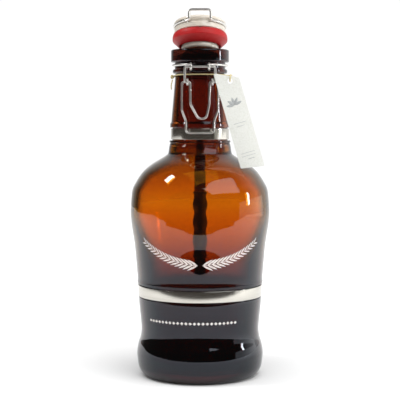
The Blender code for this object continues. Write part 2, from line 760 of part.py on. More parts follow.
GLASS = new_material("brown_glass", (0.30, 0.09, 0.015), 0.05, transmission=0.8)
STEEL = new_material("stainless_strip", (0.62, 0.61, 0.58), 0.25, metallic=1.0)
WIRE_STEEL = new_material("bright_wire", (0.75, 0.75, 0.74), 0.15, metallic=1.0)
BLACK_PLASTIC = new_material("black_plastic", (0.02, 0.02, 0.02), 0.45)
PORCELAIN = new_material("glazed_porcelain", (0.85, 0.85, 0.82), 0.12)
RED_RUBBER = new_material("red_rubber", (0.58, 0.03, 0.03), 0.5)
CARD = new_material("white_card", (0.85, 0.86, 0.84), 0.8)
CREAM_CORD = new_material("cream_cord", (0.75, 0.66, 0.42), 0.8)

BOTTLE_AXIS = new_empty("bottle_axis", (0, AXIS_Y, 0))
LID_HINGE = new_empty("lid_hinge_axis", HINGE, BOTTLE_AXIS)
LEVER_AXLE = new_empty("lever_axle", AXLE, BOTTLE_AXIS)
BAIL_LINK = new_empty("bail_link", LINK, LEVER_AXLE)
TAG_HANG = new_empty("tag_hang", TAG_PIVOT, BOTTLE_AXIS)

bottle()
neck_end = strap_end("neck", NECK_BAND_Z, NECK_SEAT_R)
body_end = strap_end("body", BODY_BAND_Z, BODY_SEAT_R)
handle_strap(neck_end, body_end)
grip()
neck_ring()
lever(LEVER_AXLE)
bail(BAIL_LINK)
lid(LID_HINGE)
gasket(LID_HINGE)
lid_wire(LID_HINGE)
hang_tag(TAG_HANG)
cord()
LID_HINGE.rotation_euler.x = math.radians(-LID_OPEN_DEG)
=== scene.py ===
"""Looks for a two-litre growler: amber glass, wire lever closure, steel bands, back handle and hang tag.

Shapes are worked out in millimetres from the foot of the bottle's axis, with the front at -Y. One class for
each sub-assembly holds its sizes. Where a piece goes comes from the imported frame: its boxes and its joints.
"""

from __future__ import annotations

import json
import logging
import math
from dataclasses import dataclass, field
from enum import Enum
from typing import Any, Sequence

import bpy
import numpy as np
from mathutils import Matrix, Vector

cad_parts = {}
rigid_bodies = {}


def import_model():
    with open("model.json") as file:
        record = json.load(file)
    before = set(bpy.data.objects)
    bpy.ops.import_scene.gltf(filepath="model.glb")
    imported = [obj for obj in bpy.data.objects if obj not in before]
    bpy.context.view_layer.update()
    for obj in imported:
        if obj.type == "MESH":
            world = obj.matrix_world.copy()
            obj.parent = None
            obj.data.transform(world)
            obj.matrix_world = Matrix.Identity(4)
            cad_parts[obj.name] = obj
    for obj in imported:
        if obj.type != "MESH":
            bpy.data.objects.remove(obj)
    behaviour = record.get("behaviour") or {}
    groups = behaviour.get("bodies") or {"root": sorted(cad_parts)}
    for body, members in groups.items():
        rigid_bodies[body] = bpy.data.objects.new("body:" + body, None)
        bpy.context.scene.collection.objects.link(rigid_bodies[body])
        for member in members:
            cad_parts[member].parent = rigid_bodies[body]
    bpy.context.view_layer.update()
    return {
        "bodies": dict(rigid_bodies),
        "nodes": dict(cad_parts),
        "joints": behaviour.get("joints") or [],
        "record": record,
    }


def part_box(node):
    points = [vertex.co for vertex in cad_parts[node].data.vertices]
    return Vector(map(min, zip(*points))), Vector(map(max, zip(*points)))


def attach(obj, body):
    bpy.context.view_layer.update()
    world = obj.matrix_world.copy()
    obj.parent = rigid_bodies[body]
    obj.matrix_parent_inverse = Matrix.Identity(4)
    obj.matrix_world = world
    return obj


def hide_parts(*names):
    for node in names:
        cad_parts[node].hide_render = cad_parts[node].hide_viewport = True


MM = 0.001
UV_NAME = "millimetres"
LOG = logging.getLogger("growler")
Array = np.ndarray
Corner = Sequence[float]


class Slot(Enum):
    """The record's material slots."""

    GLASS = "brown_glass"
    STRIP = "steel_strip"
    WIRE = "bright_wire"
    PLASTIC = "black_plastic"
    PORCELAIN = "porcelain"
    RUBBER = "red_rubber"
    CARD = "white_card"
    CORD = "cream_cord"


class Body(Enum):
    """The bodies that the pieces ride on."""

    BOTTLE = "bottle_body"
    STOPPER = "stopper"
    LEVER = "lever"
    BAIL = "bail"
    TAG = "tag"


# --------------------------------------------------------------------------------------------------
# Curves and surfaces


def unit(vectors: Array) -> Array:
    """Vectors divided by their lengths, along the last axis."""
    return vectors / np.linalg.norm(vectors, axis=-1, keepdims=True)


def filleted(corners: Sequence[Corner], closed: bool = False, steps: int = 6) -> Array:
    """The outline through corners, with an arc at each bend.

    An arc is slerp(start, end) about its centre, which lies bend / sin(half the angle) along the bisector.

    Args:
        corners: Each corner's coordinates, followed by its bend radius.
        closed: Whether the last corner joins the first.
        steps: Steps in each arc.

    Returns:
        The outline's points, one row each.
    """
    places = np.array([corner[:-1] for corner in corners], dtype=float)
    outline = []
    for index, corner in enumerate(places):
        bend = corners[index][-1]
        at_end = not closed and index in (0, len(places) - 1)
        if at_end or bend == 0:
            outline.append(corner[None])
            continue
        before = unit(places[index - 1] - corner)
        after = unit(places[(index + 1) % len(places)] - corner)
        half = math.acos(float(np.clip(before @ after, -1, 1))) / 2
        centre = corner + unit(before + after) * bend / math.sin(half)
        start = corner + before * bend / math.tan(half) - centre
        end = corner + after * bend / math.tan(half) - centre
        sweep = math.pi - 2 * half
        share = np.linspace(0, 1, steps + 1)[:, None]
        arc = start * np.sin((1 - share) * sweep) + end * np.sin(share * sweep)
        outline.append(centre + arc / math.sin(sweep))
    return np.concatenate(outline)


def flowing(points: Array, per_span: int) -> Array:
    """The Catmull-Rom curve through points.

    In each span it is (2b + (c-a)t + (2a-5b+4c-d)t^2 + (3b-a-3c+d)t^3) / 2.

    Args:
        points: What it goes through, one row each.
        per_span: Steps between two of them.

    Returns:
        The curve's points.
    """
    points = np.asarray(points, dtype=float)
    knots = np.vstack((2 * points[0] - points[1], points, 2 * points[-1] - points[-2]))
    a, b, c, d = (knots[shift : len(knots) - 3 + shift, None] for shift in range(4))
    t = (np.arange(per_span) / per_span)[None, :, None]
    spans = (2 * b + (c - a) * t + (2 * a - 5 * b + 4 * c - d) * t**2 + (3 * b - a - 3 * c + d) * t**3) / 2
    return np.vstack((spans.reshape(-1, points.shape[1]), points[-1:]))


def lengths_along(path: Array) -> Array:
    """The distance of each point from the first, along the path."""
    return np.concatenate(([0.0], np.cumsum(np.linalg.norm(np.diff(path, axis=0), axis=1))))


def evenly(path: Array, spacing: float) -> Array:
    """The path again, with points one spacing apart, near enough."""
    along = lengths_along(path)
    stations = np.linspace(0, along[-1], max(2, round(along[-1] / spacing) + 1))
    return np.stack([np.interp(stations, along, path[:, axis]) for axis in range(path.shape[1])], axis=1)


def eased(path: Array, spacing: float, reach: float, closed: bool = False) -> Array:
    """The path with its kinks eased, as wire bends: each point is a bell-weighted mean of its neighbours.

    Args:
        path: The path's points.
        spacing: The distance between the new points.
        reach: How far the mean reaches each way.
        closed: Whether the path is a loop.

    Returns:
        The eased path.
    """
    if closed:
        path = np.vstack((path, path[:1]))
    path = evenly(path, spacing)
    half = max(1, round(reach / spacing))
    weights = np.hanning(2 * half + 3)[1:-1]
    weights /= weights.sum()
    if closed:
        path = path[:-1]
        padded = np.vstack((path[-half:], path, path[:half]))
    else:
        before = 2 * path[0] - path[half:0:-1]
        after = 2 * path[-1] - path[-2 : -half - 2 : -1]
        padded = np.vstack((before, path, after))
    return np.stack([np.convolve(padded[:, axis], weights, "valid") for axis in range(3)], axis=1)


@dataclass
class Surface:
    """Points in millimetres with quads, triangles and a UV, in millimetres too, for each of their corners."""

    points: Array
    quads: Array
    quad_uv: Array
    tris: Array = field(default_factory=lambda: np.zeros((0, 3), int))
    tri_uv: Array = field(default_factory=lambda: np.zeros((0, 3, 2)))

    def __add__(self, other: Surface) -> Surface:
        """Both surfaces in one."""
        shift = len(self.points)
        return Surface(
            np.vstack((self.points, other.points)),
            np.vstack((self.quads, other.quads + shift)),
            np.vstack((self.quad_uv, other.quad_uv)),
            np.vstack((self.tris, other.tris + shift)),
            np.vstack((self.tri_uv, other.tri_uv)),
        )

    def moved(self, change: Any) -> Surface:
        """The same surface with its points put through a function."""
        return Surface(change(self.points), self.quads, self.quad_uv, self.tris, self.tri_uv)


def patch(rows: Array, wrap_rows: bool = False, wrap_columns: bool = False) -> Surface:
    """A grid of points as a surface. It faces (column direction) x (row direction).

    Args:
        rows: The points, as an array of rows x columns x 3.
        wrap_rows: Whether the last row joins the first.
        wrap_columns: Whether the last column joins the first.

    Returns:
        The surface. Its U runs along the rows' lengths and its V along the columns'.
    """
    count, across = rows.shape[:2]
    row_steps = np.arange(count if wrap_rows else count - 1)
    column_steps = np.arange(across if wrap_columns else across - 1)
    i, j = (grid.ravel() for grid in np.meshgrid(row_steps, column_steps, indexing="ij"))
    corners = ((i, j), (i, j + 1), (i + 1, j + 1), (i + 1, j))
    quads = np.stack([(row % count) * across + column % across for row, column in corners], axis=1)
    middle = rows[:, across // 2]
    along = lengths_along(np.vstack((middle, middle[:1])))
    around = lengths_along(np.vstack((rows[count // 2], rows[count // 2, :1])))
    uv = np.stack([np.stack((along[row], around[column]), axis=1) for row, column in corners], axis=1)
    return Surface(rows.reshape(-1, 3), quads, uv)


def loft(rings: Array, closed: bool = False, start: Array | None = None, end: Array | None = None) -> Surface:
    """A closed solid through rings of points, with a fan of triangles at each end.

    Args:
        rings: The rings, as an array of rings x points x 3.
        closed: Whether the last ring joins the first, which leaves no ends.
        start: The middle of the first end's fan, if it isn't the ring's own.
        end: The middle of the last end's fan, if it isn't the ring's own.

    Returns:
        The surface, which faces outwards where (ring direction) x (path direction) does.
    """
    surface = patch(rings, wrap_rows=closed, wrap_columns=True)
    if closed:
        return surface
    count, across = rings.shape[:2]
    first = rings[0].mean(0) if start is None else start
    final = rings[-1].mean(0) if end is None else end
    j = np.arange(across)
    after = (j + 1) % across
    last = (count - 1) * across
    centre = np.full(across, count * across)
    fans = np.vstack((np.stack((after, j, centre), 1), np.stack((last + j, last + after, centre + 1), 1)))
    surface.points = np.vstack((surface.points, first, final))
    surface.tris = fans
    surface.tri_uv = surface.points[fans][:, :, :2]
    return surface


def turned(outline: Array, segments: int) -> Surface:
    """A solid of revolution about the bottle's axis: (r cos a, -r sin a, z) for each outline point and angle.

    Args:
        outline: Points (r, z). The outer side runs from top to bottom, and an outline that starts and ends on
            the axis is closed there.
        segments: Steps round the axis.

    Returns:
        The surface.
    """
    angles = ring_angles(segments)
    turn = np.stack((np.cos(angles), -np.sin(angles), np.zeros(segments)), axis=1)
    heights = np.zeros((len(outline), 1, 3))
    heights[:, 0, 2] = outline[:, 1]
    rings = outline[:, 0, None, None] * turn[None] + heights
    if outline[0, 0] > 0:
        return loft(rings, closed=True)
    return loft(rings[1:-1], start=rings[0, 0], end=rings[-1, 0])


def steady_normals(path: Array, closed: bool) -> tuple[Array, Array]:
    """Tangents of a path, and normals that turn about it as little as they can.

    Args:
        path: The path's points.
        closed: Whether it is a loop, whose last normal then meets its first.

    Returns:
        The tangents and the normals.
    """
    if closed:
        tangents = unit(np.roll(path, -1, axis=0) - np.roll(path, 1, axis=0))
    else:
        tangents = unit(np.gradient(path, axis=0))
    least = np.eye(3)[np.argmin(np.abs(tangents[0]))]
    normals = [unit(np.cross(tangents[0], least))]
    for tangent in tangents[1:]:
        normals.append(unit(normals[-1] - tangent * (tangent @ normals[-1])))
    normals = np.array(normals)
    if closed:
        carried = unit(normals[-1] - tangents[0] * (tangents[0] @ normals[-1]))
        twist = math.atan2(np.cross(carried, normals[0]) @ tangents[0], carried @ normals[0])
        angles = (np.arange(len(path)) / len(path) * twist)[:, None]
        normals = normals * np.cos(angles) + np.cross(tangents, normals) * np.sin(angles)
    return tangents, normals


def ring_angles(sides: int) -> Array:
    """Angles in equal steps round a ring."""
    return np.arange(sides) * math.tau / sides


def rings_round(path: Array, tangents: Array, normals: Array, radii: Array) -> Array:
    """Rings round a path: p + r (n cos a + b sin a), where b is t x n.

    Args:
        path: The path's points.
        tangents: Its tangents, t.
        normals: Its normals, n.
        radii: A radius for each point and each angle.

    Returns:
        The rings, as an array of rings x angles x 3.
    """
    angles = ring_angles(radii.shape[1])
    cos, sin = np.cos(angles)[None, :, None], np.sin(angles)[None, :, None]
    spokes = normals[:, None] * cos + np.cross(tangents, normals)[:, None] * sin
    return path[:, None] + spokes * radii[:, :, None]


def rod(path: Array, radius: float, sides: int = 14, closed: bool = False) -> Surface:
    """Round wire, with its cut ends slightly broken.

    Args:
        path: The wire's middle line.
        radius: The wire's radius.
        sides: Flats round the wire.
        closed: Whether the wire is a loop.

    Returns:
        The wire.
    """
    tangents, normals = steady_normals(path, closed)
    thickness = np.full(len(path), radius)
    if not closed:
        edge = 0.25 * radius
        first, final = path[0] + tangents[0] * edge, path[-1] - tangents[-1] * edge
        path = np.vstack((path[0], first, path[1:-1], final, path[-1]))
        tangents = np.vstack((tangents[0], tangents, tangents[-1]))
        normals = np.vstack((normals[0], normals, normals[-1]))
        thickness = np.concatenate(([radius - edge], thickness, [radius - edge]))
    radii = np.repeat(thickness[:, None], sides, axis=1)
    return loft(rings_round(path, tangents, normals, radii), closed=closed)


def mirrored(half: Array) -> Array:
    """A path that ends at the middle plane, followed by its mirror image back to the other side."""
    other = half[::-1] * np.array((-1.0, 1.0, 1.0))
    return np.vstack((half, other[1:] if abs(half[-1, 0]) < 1e-6 else other))


# --------------------------------------------------------------------------------------------------
# The frame


@dataclass(frozen=True)
class Places:
    """Where things are, in millimetres from the foot of the bottle's axis."""

    axis_y: float
    lip_top: float
    hinge: Array
    axle: Array
    link: Array
    tag_pivot: Array
    open_deg: float

    @classmethod
    def read(cls, frame: dict[str, Any]) -> Places:
        """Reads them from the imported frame.


        Returns:
            The places.
        """
        low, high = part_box("bottle")
        axis_y = (low[1] + high[1]) / 2 / MM
        joints = {joint["name"]: joint for joint in frame["joints"]}

        def pivot(name: str) -> Array:
            """A joint's place from the foot of the axis."""
            return np.array(joints[name]["pos_m"]) / MM - (0, axis_y, 0)

        return cls(
            axis_y=axis_y,
            lip_top=high[2] / MM,
            hinge=pivot("lid_hinge"),
            axle=pivot("lever_pivot"),
            link=pivot("bail_pivot"),
            tag_pivot=pivot("tag_swing"),
            open_deg=-joints["lid_hinge"]["range_deg"][0],
        )

    def opened(self, points: Array) -> Array:
        """Points of the shut stopper, turned back about its hinge to where it stands open."""
        angle = math.radians(-self.open_deg)
        cos, sin = math.cos(angle), math.sin(angle)
        turn = np.array(((1, 0, 0), (0, cos, -sin), (0, sin, cos)))
        return (points - self.hinge) @ turn.T + self.hinge


@dataclass
class Workshop:
    """Turns surfaces into pieces of the scene."""

    places: Places
    made: list[bpy.types.Object] = field(default_factory=list)

    def piece(
        self,
        name: str,
        surface: Surface,
        material: bpy.types.Material,
        body: Body,
        slot: Slot,
        stands_for: Sequence[str] = (),
        sharp_deg: float = 40.0,
        solid: float = 0.0,
    ) -> bpy.types.Object:
        """Adds a surface to the scene as a piece that rides on a body.

        Args:
            name: The piece's name.
            surface: Its shape, in millimetres from the foot of the bottle's axis.
            material: Its finish.
            body: What it rides on.
            slot: The record's slot that its finish belongs to. Not used.
            stands_for: The plain nodes that it replaces.
            sharp_deg: Edges that bend more than this stay sharp.
            solid: The thickness in millimetres that an open surface is given.

        Returns:
            The piece.
        """
        mesh = bpy.data.meshes.new(name)
        points = (surface.points + (0, self.places.axis_y, 0)) * MM
        quads, tris = surface.quads, surface.tris
        mesh.vertices.add(len(points))
        mesh.vertices.foreach_set("co", points.ravel())
        mesh.loops.add(quads.size + tris.size)
        mesh.loops.foreach_set("vertex_index", np.concatenate((quads.ravel(), tris.ravel())))
        mesh.polygons.add(len(quads) + len(tris))
        starts = np.concatenate((np.arange(len(quads)) * 4, quads.size + np.arange(len(tris)) * 3))
        mesh.polygons.foreach_set("loop_start", starts)
        uv = np.concatenate((surface.quad_uv.reshape(-1, 2), surface.tri_uv.reshape(-1, 2)))
        mesh.uv_layers.new(name=UV_NAME).data.foreach_set("uv", uv.ravel())
        mesh.update(calc_edges=True)
        mesh.shade_smooth()
        mesh.set_sharp_from_angle(angle=math.radians(sharp_deg))
        mesh.materials.append(material)
        piece = bpy.data.objects.new(name, mesh)
        bpy.context.scene.collection.objects.link(piece)
        if solid:
            shell = piece.modifiers.new("Thickness", "SOLIDIFY")
            shell.thickness = solid * MM
            shell.offset = 1.0
        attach(piece, body.value)
        if stands_for:
            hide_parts(*stands_for)
        self.made.append(piece)
        LOG.info("%s: %d faces on %s", name, len(mesh.polygons), body.value)
        return piece


# --------------------------------------------------------------------------------------------------
# Finishes


def linear(hex_colour: str) -> tuple[float, float, float, float]:
    """An sRGB hex colour as linear RGBA: ((c + 0.055) / 1.055)^2.4, or c / 12.92 where it is dark."""
    channels = [int(hex_colour[k : k + 2], 16) / 255 for k in (1, 3, 5)]
    return (*(c / 12.92 if c <= 0.04045 else ((c + 0.055) / 1.055) ** 2.4 for c in channels), 1.0)


def add_node(
    tree: bpy.types.NodeTree, kind: str, settings: dict[str, Any] | None = None, **links: Any
) -> Any:
    """Adds a node to a tree.

    Args:
        tree: The tree.
        kind: The node's type.
        settings: The node's own properties.
        links: Inputs by name, with _ for a space: an output socket to link, or a value to set. A name such
            as i1 means the input of that number.

    Returns:
        The node.
    """
    node = tree.nodes.new(kind)
    for key, value in (settings or {}).items():
        setattr(node, key, value)
    for key, value in links.items():
        numbered = key[0] == "i" and key[1:].isdigit()
        socket = node.inputs[int(key[1:])] if numbered else node.inputs[key.replace("_", " ")]
        if isinstance(value, bpy.types.NodeSocket):
            tree.links.new(value, socket)
        else:
            socket.default_value = value
    return node


def add_ramp(tree: bpy.types.NodeTree, factor: Any, stops: Sequence[tuple[float, str]]) -> Any:
    """A colour ramp's output, through stops of position and sRGB hex colour."""
    node = add_node(tree, "ShaderNodeValToRGB", Fac=factor)
    ramp = node.color_ramp
    for index, (position, colour) in enumerate(stops):
        stop = ramp.elements[index] if index < 2 else ramp.elements.new(position)
        stop.position = position
        stop.color = linear(colour)
    return node.outputs["Color"]


class Finish:
    """A procedural material. Each finish adds its own nodes to a Principled shader."""

    name = "finish"

    def build(self) -> bpy.types.Material:
        """Makes the material."""
        material = bpy.data.materials.new(self.name)
        material.use_nodes = True
        shader = material.node_tree.nodes["Principled BSDF"]
        self.dress(material.node_tree, shader)
        return material

    def dress(self, tree: bpy.types.NodeTree, shader: Any) -> None:
        """Sets the shader up."""
        raise NotImplementedError

    @staticmethod
    def constants(shader: Any, **values: Any) -> None:
        """Sets numbers on the shader's own sockets, with _ for a space."""
        for key, value in values.items():
            shader.inputs[key.replace("_", " ")].default_value = value

    @staticmethod
    def own_place(tree: bpy.types.NodeTree) -> Any:
        """Where a point is on the piece itself, in metres."""
        return add_node(tree, "ShaderNodeTexCoord").outputs["Object"]

    @staticmethod
    def mottled(tree: bpy.types.NodeTree, place: Any, size_mm: float, detail: float = 3.0) -> Any:
        """Uneven patches about this many millimetres across."""
        node = add_node(tree, "ShaderNodeTexNoise", Vector=place, Scale=1 / (size_mm * MM), Detail=detail)
        return node.outputs["Fac"]

    @staticmethod
    def streaked(tree: bpy.types.NodeTree, length_mm: float, width_mm: float, detail: float) -> Any:
        """Streaks along the piece, of this length and width in millimetres."""
        uv = add_node(tree, "ShaderNodeUVMap", {"uv_map": UV_NAME}).outputs["UV"]
        scale = (1 / length_mm, 1 / width_mm, 1.0)
        drawn = add_node(tree, "ShaderNodeMapping", Vector=uv, Scale=scale).outputs["Vector"]
        return add_node(tree, "ShaderNodeTexNoise", Vector=drawn, Scale=1.0, Detail=detail).outputs["Fac"]

    @staticmethod
    def coloured(tree: bpy.types.NodeTree, shader: Any, factor: Any, *stops: tuple[float, str]) -> None:
        """Links a colour that runs through stops, by a factor, to the shader."""
        tree.links.new(add_ramp(tree, factor, stops), shader.inputs["Base Color"])

    @staticmethod
    def roughened(tree: bpy.types.NodeTree, shader: Any, factor: Any, low: float, high: float) -> None:
        """Links a roughness from low to high, by a factor, to the shader."""
        rough = add_node(tree, "ShaderNodeMapRange", Value=factor, To_Min=low, To_Max=high)
        tree.links.new(rough.outputs[0], shader.inputs["Roughness"])

    @staticmethod
    def relief(
        tree: bpy.types.NodeTree, shader: Any, height: Any, depth_mm: float, strength: float = 1.0
    ) -> None:
        """Links a height from 0 to 1, this deep in millimetres, to the shader's normal."""
        node = add_node(tree, "ShaderNodeBump", Strength=strength, Distance=depth_mm * MM, Height=height)
        tree.links.new(node.outputs["Normal"], shader.inputs["Normal"])


@dataclass(frozen=True)
class AmberGlass(Finish):
    """Brown bottle glass, blown in a mould.

    It is thick and nearly opaque in the neck and foot. Its tint by height also holds painted backlight: it
    glows orange round the belly, as if a bright backdrop shone through there, and is painted darker low on
    the body and in the neck. Its surface is glossy, with a slow ripple from the mould.
    """

    name: str = "amber_bottle_glass"
    height_m: float = 0.307
    # Tint of one wall by height above the foot in millimetres: darker where the glass is thicker, with
    # painted
    # # backlight on top of that: bright amber round the belly, painted dark low on the body and in the neck
    tints_with_painted_backlight: tuple[tuple[float, str], ...] = (
        (0, "#24100d"), (14, "#38100c"), (60, "#4a140c"), (84, "#4c1c0a"), (100, "#8a4010"), (112, "#a85e12"),
        (130, "#c78014"), (147, "#d68c12"), (164, "#de9f16"), (182, "#d48d1a"), (202, "#be821c"),
        (216, "#925214"), (228, "#8a4412"), (250, "#884012"), (276, "#8a4012"), (290, "#40140a"),
        (307, "#300f08"),
    )
    gloss_tint: str = "#e4efff"
    rim_tint: str = "#14100a"
    # The rim, where sight runs along the wall, is dark. How far in that reaches, low on the body and from the
    # belly up, over what run, and the heights in metres between which the one gives way to the other
    rim_from: tuple[float, float] = (0.16, 0.48)
    rim_run: float = 0.24
    rim_heights: tuple[float, float] = (0.112, 0.152)
    ripple_size: float = 26.0
    ripple_depth: float = 0.10

    def dress(self, tree: bpy.types.NodeTree, shader: Any) -> None:
        """Tint by height, which holds painted backlight, darkened where the sight line runs along the wall,
        and a ripple.
        """
        self.constants(shader, Roughness=0.015, IOR=1.52, Transmission_Weight=1.0, Specular_IOR_Level=0.72)
        self.constants(shader, Specular_Tint=linear(self.gloss_tint))
        place = self.own_place(tree)
        height = add_node(tree, "ShaderNodeSeparateXYZ", Vector=place).outputs["Z"]
        share = add_node(tree, "ShaderNodeMath", {"operation": "DIVIDE"}, i0=height, i1=self.height_m)
        # The ramp paints backlight: brightest round the belly, dark low on the body and in the neck.
        stops = [(z * MM / self.height_m, colour) for z, colour in self.tints_with_painted_backlight]
        tint_with_painted_backlight = add_ramp(tree, share.outputs[0], stops)
        facing = add_node(tree, "ShaderNodeLayerWeight", Blend=0.5).outputs["Facing"]
        low, high = self.rim_heights
        low_from, high_from = self.rim_from
        start = add_node(
            tree, "ShaderNodeMapRange", i0=height, i1=low, i2=high, i3=low_from, i4=high_from
        ).outputs[0]
        end = add_node(tree, "ShaderNodeMath", {"operation": "ADD"}, i0=start, i1=self.rim_run).outputs[0]
        edge = add_node(
            tree, "ShaderNodeMapRange", {"interpolation_type": "SMOOTHSTEP"}, i0=facing, i1=start, i2=end
        ).outputs[0]
        rim = linear(self.rim_tint)
        mix = add_node(tree, "ShaderNodeMix", {"data_type": "RGBA"}, i0=edge, i6=tint_with_painted_backlight, i7=rim)
        tree.links.new(mix.outputs[2], shader.inputs["Base Color"])
        self.relief(tree, shader, self.mottled(tree, place, self.ripple_size, 1.0), self.ripple_depth)


@dataclass(frozen=True)
class RolledStrip(Finish):
    """Stainless strip, rolled and lightly brushed along its length: fine streaks spread its reflections."""

    name: str = "rolled_stainless_strip"
    colour: str = "#cfccc4"
    dull: str = "#b9b6ae"
    streak_length: float = 60.0
    streak_width: float = 0.35

    def dress(self, tree: bpy.types.NodeTree, shader: Any) -> None:
        """Streaks along U in the colour, roughness and height."""
        self.constants(shader, Metallic=1.0)
        streaks = self.streaked(tree, self.streak_length, self.streak_width, 4.0)
        self.coloured(tree, shader, streaks, (0.35, self.dull), (0.65, self.colour))
        self.roughened(tree, shader, streaks, 0.10, 0.22)
        self.relief(tree, shader, streaks, 0.01)


@dataclass(frozen=True)
class DrawnWire(Finish):
    """Bright drawn stainless spring wire: nearly mirror-like, with faint die lines along it."""

    name: str = "bright_drawn_wire"
    colour: str = "#dedcd8"
    line_length: float = 30.0
    line_width: float = 0.25

    def dress(self, tree: bpy.types.NodeTree, shader: Any) -> None:
        """Die lines along U in the roughness and height."""
        self.constants(shader, Metallic=1.0, Base_Color=linear(self.colour))
        lines = self.streaked(tree, self.line_length, self.line_width, 2.0)
        self.roughened(tree, shader, lines, 0.22, 0.34)
        self.relief(tree, shader, lines, 0.004)


@dataclass(frozen=True)
class MouldedGrip(Finish):
    """Black polypropylene, moulded in a spark-eroded tool: a fine even grain that softens its highlights."""

    name: str = "moulded_black_polypropylene"
    colour: str = "#0b0b0c"
    worn: str = "#141416"
    grain: float = 0.8  # coarser than real, so that it shows

    def dress(self, tree: bpy.types.NodeTree, shader: Any) -> None:
        """Grain in the height, and slow patches polished by hands in the colour and roughness."""
        self.constants(shader, IOR=1.49)
        place = self.own_place(tree)
        patches = self.mottled(tree, place, 14.0)
        self.coloured(tree, shader, patches, (0.4, self.colour), (0.7, self.worn))
        self.roughened(tree, shader, patches, 0.32, 0.5)
        self.relief(tree, shader, self.mottled(tree, place, self.grain, 2.0), 0.06)


@dataclass(frozen=True)
class GlazedPorcelain(Finish):
    """White porcelain under a clear glaze: soft light inside it, sharp highlights and a faint orange-peel."""

    name: str = "glazed_porcelain"
    colour: str = "#e6ddd0"
    shade: str = "#dad0c0"

    def dress(self, tree: bpy.types.NodeTree, shader: Any) -> None:
        """Faint cloudiness in the body, and orange-peel in the glaze."""
        self.constants(shader, IOR=1.54, Roughness=0.09, Coat_Weight=0.6, Coat_Roughness=0.03)
        place = self.own_place(tree)
        clouds = self.mottled(tree, place, 9.0, 4.0)
        self.coloured(tree, shader, clouds, (0.35, self.shade), (0.65, self.colour))
        self.relief(tree, shader, self.mottled(tree, place, 3.5, 1.0), 0.02)


@dataclass(frozen=True)
class SealRubber(Finish):
    """Red natural rubber, moulded: a satin skin with a slight pale bloom."""

    name: str = "moulded_red_rubber"
    colour: str = "#b21315"
    bloom: str = "#bc1f20"
    grain: float = 0.9

    def dress(self, tree: bpy.types.NodeTree, shader: Any) -> None:
        """Bloom in the colour, and a fine skin in the height."""
        self.constants(shader, IOR=1.5, Specular_IOR_Level=0.35)
        place = self.own_place(tree)
        bloom = self.mottled(tree, place, 6.0, 5.0)
        self.coloured(tree, shader, bloom, (0.4, self.colour), (0.75, self.bloom))
        self.roughened(tree, shader, bloom, 0.36, 0.55)
        self.relief(tree, shader, self.mottled(tree, place, self.grain), 0.03)


@dataclass(frozen=True)
class PrintedCard(Finish):
    """White cotton card: matt, with faint fibres pressed into it."""

    name: str = "white_cotton_card"
    colour: str = "#f3f4ee"
    shade: str = "#e9eae2"

    def dress(self, tree: bpy.types.NodeTree, shader: Any) -> None:
        """Fibres in the colour and height."""
        self.constants(shader, Roughness=0.8, IOR=1.45)
        fibres = self.mottled(tree, self.own_place(tree), 1.2, 6.0)
        self.coloured(tree, shader, fibres, (0.3, self.shade), (0.6, self.colour))
        self.relief(tree, shader, fibres, 0.03)


@dataclass(frozen=True)
class TwistedCord(Finish):
    """Cream cotton cord, twisted from strands: matt and fuzzy, darker in the grooves between strands."""

    name: str = "twisted_cotton_cord"
    colour: str = "#e6d8a4"
    shade: str = "#b79c58"

    def dress(self, tree: bpy.types.NodeTree, shader: Any) -> None:
        """Fibre noise in the colour and height."""
        self.constants(shader, Roughness=0.85, Sheen_Weight=0.4, Sheen_Roughness=0.5)
        fibres = self.mottled(tree, self.own_place(tree), 0.5, 4.0)
        self.coloured(tree, shader, fibres, (0.35, self.shade), (0.55, self.colour))
        self.relief(tree, shader, fibres, 0.05)


@dataclass(frozen=True)
class Ink(Finish):
    """A flat screen-printed ink, with the slight mottle of a thin coat."""

    name: str = "white_ceramic_ink"
    colour: str = "#efe9e4"
    shade: str = "#d8cdc6"
    roughness: float = 0.45

    def dress(self, tree: bpy.types.NodeTree, shader: Any) -> None:
        """Mottle in the colour."""
        self.constants(shader, Roughness=self.roughness, IOR=1.5)
        mottle = self.mottled(tree, self.own_place(tree), 1.5)
        self.coloured(tree, shader, mottle, (0.35, self.shade), (0.6, self.colour))


@dataclass(frozen=True)
class StudioPaper(Finish):
    """White background paper: matt, with barely visible tooth, and a painted glow: it emits light, none near
    the middle and more further out.
    """

    name: str = "white_studio_paper"
    colour: str = "#f6f6f6"
    glow_from: float = 0.07
    glow_to: float = 0.7
    glow: float = 0.5

    def dress(self, tree: bpy.types.NodeTree, shader: Any) -> None:
        """Painted glow (emission) by distance from the middle, and tooth in the height."""
        self.constants(shader, Roughness=0.9, Base_Color=linear(self.colour), Specular_IOR_Level=0.2)
        shader.inputs["Emission Color"].default_value = (1, 1, 1, 1)
        place = self.own_place(tree)
        measured = add_node(tree, "ShaderNodeVectorMath", {"operation": "LENGTH"}, i0=place)
        distance = measured.outputs["Value"]
        # Painted glow: the paper emits light that grows with distance from the middle.
        glow = add_node(
            tree, "ShaderNodeMapRange", i0=distance, i1=self.glow_from, i2=self.glow_to, i3=0.0, i4=self.glow
        )
        tree.links.new(glow.outputs[0], shader.inputs["Emission Strength"])
        self.relief(tree, shader, self.mottled(tree, place, 3.0, 2.0), 0.02, 0.3)


